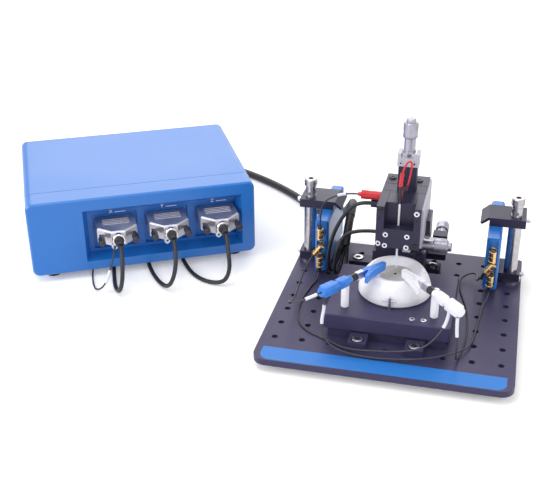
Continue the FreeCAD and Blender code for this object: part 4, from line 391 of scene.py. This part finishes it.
def socket_head(shape, foot, axis, radius, height, socket, steps=32):
    """A screw head with a six-sided socket: its side, eased rim, face and a shallow recess in painted shade."""
    turned(shape, ((radius, 0.0), (radius, height * 0.6), (radius * 0.9, height), (socket, height),
                   (socket, height - 0.12)), foot, axis, steps)
    turned(shape, ((socket * 1.02, height - 0.1), (socket * 0.9, height - 0.2), (0.0, height - 0.22)), foot, axis, 6,
           finish=1)


lug_screws = bmesh.new()
for across, back in ((-25.0, 0.0), (25.0, 0.0), (-50.0, 150.0), (25.0, 150.0)):
    socket_head(lug_screws, (across, back, 8.7), (0, 0, 1), 5.06, 0.55, 2.75)
for across in (19.8, 29.8):
    socket_head(lug_screws, (across, 19.1, 23.8), (0, 0, 1), 2.7, 0.5, 1.25)
made("LugScrews", lug_screws, on_plate, "bench_units", "screw_steel", bright_steel, socket_painted_shade)

# The sample cell: a bowl turned from white fluoropolymer, with a stepped notch for the leads.
# A grey sample disc lies on its floor, with a small black electrode at its middle.
cell_polymer = coating("CellPolymer", ink(246, 246, 250), ink(238, 238, 246), 0.42, fineness=260.0, drift=20.0,
                       depth=0.02)
cell_polymer.node_tree.nodes["Principled BSDF"].inputs["Subsurface Weight"].default_value = 0.15
cell_polymer.node_tree.nodes["Principled BSDF"].inputs["Subsurface Radius"].default_value = (0.004, 0.004, 0.004)
sample_grey = coating("SampleGrey", ink(206, 203, 201), ink(190, 187, 186), 0.4, fineness=1200.0, drift=40.0,
                      depth=0.01)
electrode_black = coating("ElectrodeBlack", ink(26, 26, 30), ink(16, 16, 20), 0.3, fineness=900.0, drift=60.0,
                          depth=0.01)
dress(cell_polymer, "cell_body", "cell_posts")
dress(sample_grey, "sample_disc")
electrode = bmesh.new()
turned(electrode, ((1.35, -0.2), (1.35, 0.06), (1.2, 0.12), (0.0, 0.12)), (-2.2, 64.2, 42.2), steps=28)
made("ElectrodeDot", electrode, on_plate, "bench_units", "probe_black", electrode_black)

# The cell's contact pin: a nickel pin in the bowl's front wall, with a curved spring bar across it.
# Two nickel thumb screws with straight knurls clamp the cell over white pegs.
nickel = coating("Nickel", ink(206, 204, 212), ink(168, 166, 178), 0.26, metal=1.0, fineness=500.0, drift=80.0,
                 depth=0.015)
dress(nickel, "cell_contact", "cell_thumb_left", "cell_thumb_right")


def knurl(shape, radius, low, high, ridges, foot, axis=(0, 0, 1), rise=0.14, finish=0):
    """Straight knurling: every second strip round a turned band stands proud."""
    part = bmesh.new()
    ends = [part.verts.new((radius, 0.0, low)), part.verts.new((radius, 0.0, high))]
    line = [part.edges.new(ends)]
    bmesh.ops.spin(part, geom=ends + line, cent=(0, 0, 0), axis=(0, 0, 1), angle=math.tau, steps=ridges * 2,
                   use_merge=True)
    strips = sorted(part.faces, key=lambda f: math.atan2(f.calc_center_median().y, f.calc_center_median().x))
    for face in bmesh.ops.extrude_discrete_faces(part, faces=strips[::2])["faces"]:
        out = face.calc_center_median() * Vector((1, 1, 0))
        bmesh.ops.translate(part, vec=out.normalized() * rise, verts=list(face.verts))
    poured(shape, part, foot, axis, finish)


for label, across, body in (("Left", -41.9, "cell_thumb_left_turning"), ("Right", 38.1, "cell_thumb_right_turning")):
    thumb = bmesh.new()
    knurl(thumb, 3.62, 46.6, 50.8, 24, (across, 28.0, 0.0))
    turned(thumb, ((2.4, 51.45), (2.2, 51.62), (0.9, 51.7), (0.0, 51.7)), (across, 28.0, 0.0), steps=28)
    made(f"CellThumbKnurl{label}", thumb, on_plate, body, "nickel", nickel)

# The Y and X slides of the stage: black anodised blocks on dovetails, each pushed by a micrometer head.
# Sleeves and thimbles are satin chrome, with engraved lines and a fluted grip.
satin_chrome = coating("SatinChrome", ink(176, 174, 186), ink(150, 148, 162), 0.36, metal=0.85, fineness=800.0,
                       drift=40.0, depth=0.012)
engraved = coating("EngravedLine", ink(52, 50, 62), ink(38, 38, 48), 0.6, fineness=900.0, drift=60.0, depth=0.01)
# The slides take the darker anodise copy: painted shade.
dress(anodise_painted_shade, "y_carriage", "x_carriage")
dress(satin_chrome, "y_sleeve", "x_sleeve", "z_sleeve", "x_thimble", "y_thimble", "z_thimble")
sleeve_face, thimble_face = 5.22, 6.51
sleeve_pitch, drum_marks = 0.5, 50
for label, foot, axis, reach, seen_from, still, turning in (
    ("X", (16.1, 118.0, 47.5), (1, 0, 0), 10.5, (0.0, -0.62, 0.78), "y_stage", "x_thimble_turning"),
    ("Y", (30.0, 166.0, 33.0), (0, 1, 0), 12.0, (-0.3, 0.0, 0.95), "bench_units", "y_thimble_turning"),
    ("Z", (0.5, 98.0, 149.0), (0, 0, 1), 14.0, (0.35, -0.94, 0.0), "x_stage", "z_thimble_turning"),
):
    along = Vector(axis)
    facing = Vector(seen_from)
    facing.normalize()
    aside = along.cross(facing)
    scale_lines = bmesh.new()
    seat = Matrix.Translation(foot) @ Matrix((aside, facing, along)).transposed().to_4x4()
    for step in range(int(reach - 3) * 2):
        high = 2.6 + step * sleeve_pitch
        long_mark = step % 10 == 0
        fresh = milled(scale_lines, (1.9 if long_mark else 1.1, 0.12, 0.14), (0, 0, 0), ease=0.02, segments=1)
        turn_by = Matrix.Rotation((0.12 if step % 2 else -0.12), 4, "Z")
        out = Matrix.Translation((0, sleeve_face, high))
        bmesh.ops.transform(scale_lines, matrix=seat @ turn_by @ out, verts=fresh)
    fresh = milled(scale_lines, (0.16, 0.12, reach - 2.4), (0, 0, 0), ease=0.02, segments=1)
    out = Matrix.Translation((0, sleeve_face, reach / 2 + 1.0))
    bmesh.ops.transform(scale_lines, matrix=seat @ out, verts=fresh)
    made(f"SleeveScale{label}", scale_lines, on_plate, still, "micro_steel", engraved)
    drum_lines = bmesh.new()
    for step in range(drum_marks):
        tall = 2.2 if step % 5 == 0 else 1.3
        fresh = milled(drum_lines, (0.13, 0.1, tall), (0, 0, 0), ease=0.02, segments=1)
        turn_by = Matrix.Rotation(math.tau * step / drum_marks, 4, "Z")
        out = Matrix.Translation((0, thimble_face, reach + 0.5 + tall / 2))
        bmesh.ops.transform(drum_lines, matrix=seat @ turn_by @ out, verts=fresh)
    made(f"ThimbleScale{label}", drum_lines, on_plate, turning, "micro_steel", engraved)
    collar = bmesh.new()
    grip_top = reach + 14.0
    knurl(collar, 6.52, reach + 7.2, grip_top - 1.0, 40, foot, axis, rise=0.1)
    # The small dimple at the thimble's end takes the same dark finish: painted shade.
    turned(collar, ((1.1, grip_top + 3.45), (1.0, grip_top + 3.52), (0.0, grip_top + 3.3)), foot, axis, 20, finish=1)
    turned(collar, ((6.53, reach + 6.6), (6.6, reach + 6.75), (6.6, reach + 7.0), (6.53, reach + 7.15)), foot, axis,
           48)
    made(f"ThimbleGrip{label}", collar, on_plate, turning, "micro_steel", satin_chrome, socket_painted_shade)

# The Z head: a black anodised block, cut open at the front, with a bright side cover.
# Its front plate is held by bright button screws and two black ones, its top by two black cap screws.
# The head parts take the darker anodise copy: painted shade.
dress(anodise_painted_shade, "head_block", "head_front", "z_carriage", "drive_column")
cover_silver = coating("CoverSilver", ink(158, 157, 170), ink(140, 139, 154), 0.38, metal=0.4, fineness=900.0,
                       drift=20.0, depth=0.01)
dress(cover_silver, "head_side_cover")
black_screw = coating("BlackScrew", ink(36, 35, 45), ink(25, 25, 32), 0.4, metal=0.2, fineness=700.0, drift=60.0,
                      depth=0.02)
head_buttons = bmesh.new()
for across, high in ((14.7, 109.1), (-11.8, 86.4), (7.3, 86.2), (-18.1, 77.1), (-12.1, 75.6), (7.1, 75.6)):
    socket_head(head_buttons, (across, 55.0, high), (0, -1, 0), 2.6, 1.6, 1.15)
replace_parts(made("HeadButtons", head_buttons, on_plate, "x_stage", "screw_steel", bright_steel, socket_painted_shade),
            "head_screws")
head_marks = bmesh.new()
# Two shallow discs on the front plate take the dark socket finish: painted shade.
for across, high in ((-17.9, 101.5), (14.7, 101.8)):
    turned(head_marks, ((1.5, -0.1), (1.35, 0.05), (1.1, 0.03), (0.0, 0.02)), (across, 55.0, high), (0, -1, 0), 24,
           finish=1)
for across, high in ((-17.8, 110.3), (14.1, 76.5)):
    socket_head(head_marks, (across, 55.1, high), (0, -1, 0), 2.5, 1.3, 1.25)
for across, back in ((-15.4, 118.6), (9.4, 117.4)):
    socket_head(head_marks, (across, back, 112.9), (0, 0, 1), 3.4, 1.5, 1.7)
made("HeadScrewsBlack", head_marks, on_plate, "x_stage", "black_anodised", black_screw, socket_painted_shade)
stop_bar = bmesh.new()
milled(stop_bar, (7.3, 3.0, 3.3), (7.4, 57.2, 71.4), ease=0.4)
made("HeadStopBar", stop_bar, on_plate, "x_stage", "aluminium", cover_silver)

# The Z drive stands on the head: a black column, a grey cast yoke and the micrometer in it.
# Two nickel screws hold the yoke from the front.
yoke_grey = coating("YokeGrey", ink(184, 183, 194), ink(166, 165, 178), 0.45, metal=0.3, fineness=900.0, drift=30.0,
                    depth=0.02)
dress(yoke_grey, "drive_yoke")
yoke_screws = bmesh.new()
for across in (-6.0, 6.3):
    socket_head(yoke_screws, (across, 91.35, 140.2), (0, -1, 0), 1.9, 0.8, 0.95)
made("YokeScrews", yoke_screws, on_plate, "x_stage", "nickel", nickel, socket_painted_shade)

# The Y anvil: a bare aluminium block that stands on the Y slide.
# The tip of the Y micrometer presses on its rear face.
anvil_cover = bmesh.new()
milled(anvil_cover, (17.1, 8.6, 14.5), (28.75, 145.4, 33.05), ease=0.9)
made("YAnvilCover", anvil_cover, on_plate, "y_stage", "yoke_grey", yoke_grey)

# The probe: a thin glass-sheathed electrode in the head's window, under a black two-pin cap.
# A red lead loops up from the cap; its first leg is covered by a thick red sleeve.
probe_glass = coating("ProbeGlass", ink(236, 236, 240), ink(216, 216, 224), 0.2, fineness=700.0, drift=60.0,
                      depth=0.01)
dress(probe_glass, "probe")
cap_cover = bmesh.new()
turned(cap_cover, ((1.2, 112.6), (1.78, 113.0), (1.78, 128.0), (1.6, 128.3), (0.0, 128.3)), (-1.9, 65.0, 0.0),
       steps=28)
milled(cap_cover, (6.4, 2.4, 3.4), (1.3, 65.0, 127.2), ease=0.6)
made("ProbeCap", cap_cover, on_plate, "z_stage", "probe_black", black_screw)


def centre_line(cord):
    """The points of a cable's own smooth line."""
    bare = cord.data.copy()
    bare.bevel_depth = 0.0
    stand_in = bpy.data.objects.new("Bare", bare)
    scene.collection.objects.link(stand_in)
    bpy.context.view_layer.update()
    line = bpy.data.meshes.new_from_object(stand_in)
    points = [v.co.copy() for v in line.vertices]
    bpy.data.objects.remove(stand_in)
    return points


def sleeve(name, cord, start, end, radius, finish, body, slot):
    """A sleeve on a cable between two distances from its start, in millimetres."""
    points = centre_line(cord)
    walked, kept = 0.0, []
    for one, two in zip(points, points[1:]):
        if start * 0.001 <= walked <= end * 0.001:
            kept.append(one)
        walked += (two - one).length
    shape = bmesh.new()
    rings = []
    for i, point in enumerate(kept):
        ahead = kept[min(i + 1, len(kept) - 1)] - kept[max(i - 1, 0)]
        lean = Vector((0, 0, 1)).rotation_difference(ahead.normalized()).to_matrix().to_4x4()
        rings.append(bmesh.ops.create_circle(shape, cap_ends=i in (0, len(kept) - 1), segments=20,
                                             radius=radius * 0.001,
                                             matrix=Matrix.Translation(point) @ lean)["verts"])
    for ring, following in zip(rings, rings[1:]):
        edges = [e for e in shape.edges if (e.verts[0] in ring and e.verts[1] in ring)
                 or (e.verts[0] in following and e.verts[1] in following)]
        edges = [e for e in edges if all(len(v.link_edges) >= 2 for v in e.verts)]
        bmesh.ops.bridge_loops(shape, edges=edges)
    return made(name, shape, Matrix.Identity(4), body, slot, finish, crease=50.0)


sleeve("ProbeSleeve", probe_lead, 0.5, 14.0, 1.9, red_jacket, "z_stage", "red_plastic")
plug_red = coating("PlugRed", ink(206, 38, 50), ink(176, 26, 40), 0.34, fineness=500.0, drift=50.0, depth=0.03)
dress(plug_red, "red_plug")
plug_rings = bmesh.new()
for along in (-38.6, -36.4, -34.2):
    turned(plug_rings, ((3.9, -0.5), (4.25, -0.3), (4.25, 0.3), (3.9, 0.5)), (along, 85.0, 109.0), (1, 0, 0), 32)
turned(plug_rings, ((0.9, -3.5), (1.6, -3.0), (2.2, 0.0), (3.4, 0.6)), (-39.2, 85.0, 109.0), (1, 0, 0), 28)
made("RedPlugRings", plug_rings, on_plate, "x_stage", "red_plastic", plug_red)

# The rear posts: polished stainless rods in black shoes, with clamp arms over the pods.
# A chrome thumb screw closes each arm, and bright set screws stand out of the outer sides.
post_chrome = coating("PostChrome", ink(196, 192, 194), ink(168, 165, 170), 0.24, metal=1.0, fineness=200.0,
                      drift=60.0, depth=0.006)
dress(post_chrome, "posts", "post_knob_left", "post_knob_right")
# The shoes and arms take the darker anodise copy: painted shade.
dress(anodise_painted_shade, "post_shoes", "clamp_arms")
set_screws = bmesh.new()
for side in (-1, 1):
    for high in (5.6, 64.2):
        turned(set_screws, ((1.5, -1.0), (1.5, 4.2), (1.2, 4.6), (0.0, 4.6)), (side * 110.5, 157.5, high),
               (side, 0, 0), 24)
        turned(set_screws, ((2.7, 1.2), (2.7, 3.4), (1.5, 3.6)), (side * 110.5, 157.5, high), (side, 0, 0), 6)
made("SetScrews", set_screws, on_plate, "bench_units", "screw_steel", bright_steel)
post_across, post_back = 101.0, 155.0
for label, side in (("left", -1), ("right", 1)):
    grip = bmesh.new()
    post_axis = (side * post_across, post_back, 0.0)
    knurl(grip, 6.32, 82.4, 87.4, 36, post_axis, rise=0.12)
    for high in (70.4, 72.0, 77.9, 79.5):
        ring = ((4.9, high - 0.35), (5.2, high - 0.2), (5.2, high + 0.2), (4.9, high + 0.35))
        turned(grip, ring, post_axis, steps=36)
    made(f"PostKnobKnurl_{label}", grip, on_plate, f"post_knob_{label}_turning", "chrome", post_chrome)

# The preamplifier pods: slim die-cast boxes sprayed blue, held between shoe and clamp arm.
# Each has three gilt right-angle plugs in its front, with a rolled rim and a black crimp boot.
pod_paint = coating("PodPaint", ink(34, 112, 196), ink(28, 105, 189), 0.38, fineness=420.0, drift=9.0, depth=0.012,
                    swing=0.04, coat=0.12)
dress(pod_paint, "pods")
plug_gold = coating("PlugGold", ink(240, 206, 152), ink(208, 166, 106), 0.24, metal=1.0, fineness=400.0, drift=90.0,
                    depth=0.01)
dress(plug_gold, "coax_plugs")
boot_black = coating("BootBlack", ink(46, 45, 55), ink(30, 30, 38), 0.5, fineness=600.0, drift=50.0, depth=0.03)
plug_rims = bmesh.new()
lean_by = math.radians(35)
for side in (-1, 1):
    for place in range(3):
        high = 46.9 - 13.0 * place
        way = Vector((0, 0, 1)) if place == 0 and side < 0 else Vector((0, 0, -1))
        if place == 1:
            way = Vector((-math.sin(lean_by), 0, -math.cos(lean_by)))
        middle = Vector((side * 82.75, 113.0, high))
        for far, wide in ((-2.6, 3.3), (2.4, 3.25), (7.4, 3.35)):
            turned(plug_rims, ((3.05, -0.7), (wide, -0.5), (wide, 0.5), (3.05, 0.7)), middle + way * far, way, 32)
        turned(plug_rims, ((2.4, -0.2), (1.9, 0.3), (1.55, 4.6), (1.2, 5.2), (0.8, 5.3)), middle + way * 8.3, way, 24,
               finish=1)
        turned(plug_rims, ((3.4, 0.0), (3.6, 0.2), (3.6, 1.6), (3.4, 1.8)), (side * 82.75, 122.6, high), (0, -1, 0),
               6)
made("CoaxRims", plug_rims, on_plate, "bench_units", "gold", plug_gold, boot_black)

# The controller's case: a sheet-steel cover and base behind a moulded front bezel, all sprayed one satin blue.
# The bezel has a deep recess for the three motor plugs, each with its axis letter printed above it.
on_case = Matrix.Translation((-0.1992, -0.0825, 0.008)) @ Matrix.Rotation(math.radians(28.06), 4,
                             "Z") @ Matrix.Scale(0.001, 4)
case_paint = coating("CasePaint", ink(32, 114, 197), ink(26, 106, 190), 0.38, fineness=520.0, drift=5.0, depth=0.012,
                     coat=0.15)
bezel_paint = coating("BezelPaint", ink(32, 114, 197), ink(26, 106, 190), 0.36, fineness=520.0, drift=5.0,
                      depth=0.015, coat=0.15)
# The panel in the bezel's recess takes a slightly darker copy of the blue: painted shade of the recess.
panel_paint_shaded = coating("PanelPaintShaded", ink(30, 108, 190), ink(26, 100, 182), 0.42, fineness=520.0, drift=8.0,
                      depth=0.015)
base_blue = coating("BaseBlue", ink(32, 108, 190), ink(28, 100, 182), 0.45, fineness=700.0, drift=10.0, depth=0.02)
print_white = coating("PrintWhite", ink(236, 238, 246), ink(226, 228, 238), 0.5, fineness=900.0, drift=60.0,
                      depth=0.005)
dress(case_paint, "case_cover")
dress(bezel_paint, "front_bezel")
dress(panel_paint_shaded, "connector_panel")
dress(base_blue, "case_base")
plug_middles = (86.7, 139.1, 191.5)
for letter, middle in zip("XYZ", plug_middles):
    words = bpy.data.curves.new(f"AxisLetter{letter}", "FONT")
    words.body = letter
    words.size = 5.2
    words.extrude = 0.06
    words.offset = 0.05
    words.align_x = "CENTER"
    carrier = bpy.data.objects.new("Letter", words)
    scene.collection.objects.link(carrier)
    bpy.context.view_layer.update()
    flat = bpy.data.meshes.new_from_object(carrier)
    bpy.data.objects.remove(carrier)
    print_shape = bmesh.new()
    print_shape.from_mesh(flat)
    upright = Matrix.Translation((middle - 3.5, 14.95, 55.1)) @ Matrix.Rotation(math.radians(90), 4, "X")
    bmesh.ops.transform(print_shape, matrix=upright, verts=print_shape.verts)
    milled(print_shape, (11.0, 0.12, 0.7), (middle + 6.0, 14.95, 55.9), ease=0.02, segments=1)
    made(f"AxisMark{letter}", print_shape, on_case, "bench_units", "bezel_blue", print_white)

# The motor plugs: die-cast nickel hoods with a ringed cable entry and a black rubber boot.
# Each is locked by two long screws with black knurled knobs, and carries a ring terminal for the earth wire.
hood_nickel = coating("HoodNickel", ink(208, 206, 212), ink(178, 176, 186), 0.38, metal=0.9, fineness=450.0,
                      drift=40.0, depth=0.02)
ring_nickel = coating("RingNickel", ink(226, 222, 220), ink(200, 196, 198), 0.25, metal=1.0, fineness=450.0,
                      drift=60.0, depth=0.01)
knob_black = coating("KnobBlack", ink(44, 43, 52), ink(28, 28, 34), 0.4, fineness=700.0, drift=60.0, depth=0.02)
dress(hood_nickel, "plug_hoods")
dress(knob_black, "jack_screws")
entry_rings = bmesh.new()
cable_boots = bmesh.new()
knob_knurls = bmesh.new()
ring_terminals = bmesh.new()
plug_high, forward = 43.0, (0, -1, 0)
entry_profile = ((4.75, 5.3), (5.1, 5.75), (6.2, 5.6), (6.7, 5.0), (6.7, 0.6), (6.3, 0.2), (6.25, -0.6))
boot_profile = ((4.55, 2.4), (4.5, 5.6), (4.1, 6.4), (3.75, 7.4), (3.65, 12.0), (2.9, 16.0), (2.2, 16.6))
ring_profile = ((3.6, -0.35), (4.0, -0.2), (4.0, 0.2), (3.6, 0.35))
for middle in plug_middles:
    turned(entry_rings, entry_profile, (middle, -19.5, plug_high), forward, 48)
    turned(cable_boots, boot_profile, (middle, -19.5, plug_high), forward, 36)
    for ring in range(4):
        turned(cable_boots, ring_profile, (middle, -27.8 - ring * 1.5, plug_high), forward, 32)
    for side in (-1, 1):
        knurl(knob_knurls, 3.22, 0.8, 10.8, 20, (middle + side * 16.65, -16.5, plug_high), forward, rise=0.12)
        turned(entry_rings, ((0.9, 0.0), (0.85, 0.35), (0.0, 0.45)), (middle + side * 9.2, -14.6, 47.0),
               (side * 0.55, -0.83, 0), 16)
    turned(ring_terminals, ((2.9, -0.7), (2.9, 0.7), (1.5, 0.7), (1.5, -0.7), (2.9, -0.7)),
           (middle - 4.7, -24.2, 36.6), (0.25, -0.97, 0), 28)
made("EntryRings", entry_rings, on_case, "bench_units", "hood_metal", ring_nickel)
made("CableBoots", cable_boots, on_case, "bench_units", "cable_black", boot_black)
made("JackKnurls", knob_knurls, on_case, "bench_units", "knob_black", knob_black)
made("RingTerminals", ring_terminals, on_case, "bench_units", "cell_white", cell_polymer)

# The crocodile clips: sprung nickel jaws under moulded covers, one blue and one white.
# A black collar joins each to the boots that hold its two leads, marked with white sleeves.
for label, cover, cover_shade, node_body, node_jaw, place, ways in (
    ("Blue", ink(60, 134, 224), ink(50, 120, 212), "blue_clip_body", "blue_clip_jaw", (0.1435, -0.0974, 0.0665),
     ((0.5037, 0.8612, -0.0675), (0.0341, 0.0582, 0.9977), (0.8632, -0.5049, 0.0))),
    ("White", ink(240, 240, 246), ink(226, 226, 234), "white_clip_body", "white_clip_jaw", (0.1872, -0.1074, 0.0673),
     ((-0.6409, 0.7667, -0.0359), (0.0231, -0.0276, -0.9994), (-0.7672, -0.6414, 0.0))),
):
    clip_cover = coating(f"ClipCover{label}", cover, cover_shade, 0.4, fineness=500.0, drift=50.0, depth=0.02)
    clip_banded = coating(f"ClipBanded{label}", cover, cover_shade, 0.4, fineness=500.0, drift=50.0, depth=0.02)
    tree = clip_banded.node_tree
    shader = tree.nodes["Principled BSDF"]
    where = tree.nodes.new("ShaderNodeTexCoord")
    own = tree.nodes.new("ShaderNodeMapping")
    own.vector_type = "TEXTURE"
    own.inputs["Location"].default_value = place
    own.inputs["Rotation"].default_value = Matrix(ways).transposed().to_euler()
    tree.links.new(where.outputs["Object"], own.inputs["Vector"])
    along = tree.nodes.new("ShaderNodeSeparateXYZ")
    tree.links.new(own.outputs["Vector"], along.inputs["Vector"])
    reach = tree.nodes.new("ShaderNodeMapRange")
    reach.inputs["From Min"].default_value = -0.0240
    reach.inputs["From Max"].default_value = 0.0
    tree.links.new(along.outputs["X"], reach.inputs["Value"])
    bands = tree.nodes.new("ShaderNodeValToRGB")
    bands.color_ramp.interpolation = "CONSTANT"
    bands.color_ramp.elements[0].position = 0.0
    bands.color_ramp.elements[0].color = (1, 1, 1, 1)
    bands.color_ramp.elements[1].position = 0.004
    bands.color_ramp.elements[1].color = ink(34, 33, 42)
    metal = bands.color_ramp.elements.new(0.335)
    metal.color = ink(206, 206, 214)
    front = bands.color_ramp.elements.new(0.72)
    front.color = (1, 1, 1, 1)
    tree.links.new(reach.outputs["Result"], bands.inputs["Fac"])
    tones = shader.inputs["Base Color"].links[0].from_socket
    inside = tree.nodes.new("ShaderNodeMath")
    inside.operation = "COMPARE"
    inside.inputs[1].default_value = 0.36
    inside.inputs[2].default_value = 0.356
    tree.links.new(reach.outputs["Result"], inside.inputs[0])
    chosen = tree.nodes.new("ShaderNodeMix")
    chosen.data_type = "RGBA"
    tree.links.new(inside.outputs[0], chosen.inputs[0])
    tree.links.new(tones, chosen.inputs[6])
    tree.links.new(bands.outputs["Color"], chosen.inputs[7])
    tree.links.new(chosen.outputs[2], shader.inputs["Base Color"])
    plated = tree.nodes.new("ShaderNodeMath")
    plated.operation = "COMPARE"
    plated.inputs[1].default_value = 0.527
    plated.inputs[2].default_value = 0.19
    tree.links.new(reach.outputs["Result"], plated.inputs[0])
    tree.links.new(plated.outputs[0], shader.inputs["Metallic"])
    dress(clip_banded, node_body)
    dress(clip_cover, node_jaw)
    on_clip = Matrix.Translation(place) @ Matrix(ways).transposed().to_4x4() @ Matrix.Scale(0.001, 4)
    boots = bmesh.new()
    boot_high = -2.6
    milled(boots, (13.2, 8.2, 7.6), (-34.1, 0.0, boot_high), ease=0.9)
    milled(boots, (17.0, 9.4, 8.6), (-52.0, 0.0, boot_high), ease=1.0)
    for back, wide in ((-25.2, 3.55), (-41.8, 3.6), (-44.4, 4.3), (-60.6, 4.3)):
        rib = ((wide - 0.3, -0.9), (wide + 0.15, -0.6), (wide + 0.15, 0.6), (wide - 0.3, 0.9))
        turned(boots, rib, (back, 0.0, boot_high), (1, 0, 0), 36)
    made(f"ClipBoots{label}", boots, on_clip, "bench_units", "clip_" + label.lower(), clip_cover)

label_sleeve = coating("LabelSleeve", ink(232, 233, 240), ink(214, 216, 226), 0.45, fineness=500.0, drift=70.0,
                       depth=0.01)
clear_sleeve = coating("ClearSleeve", ink(214, 222, 236), ink(198, 208, 226), 0.25, fineness=500.0, drift=70.0,
                       depth=0.01)
sleeve("SleeveBlueShort", blue_short, 170.0, 183.0, 1.5, label_sleeve, "bench_units", "cell_white")
sleeve("SleeveBlueLong", blue_long, 10.0, 30.0, 1.5, label_sleeve, "bench_units", "cell_white")
sleeve("SleeveWhiteLeft", white_left, 250.0, 268.0, 1.5, label_sleeve, "bench_units", "cell_white")
sleeve("SleeveWhiteRight", white_right, 3.0, 22.0, 1.5, label_sleeve, "bench_units", "cell_white")
sleeve("SleevePlug", plug_lead, 14.0, 25.0, 1.4, clear_sleeve, "bench_units", "cell_white")
sleeve("SleeveEarth", earth, 24.0, 38.0, 1.6, label_sleeve, "bench_units", "cell_white")
sleeve("LoomShrink", loom, 418.0, 452.0, 4.75, boot_black, "bench_units", "cable_black")
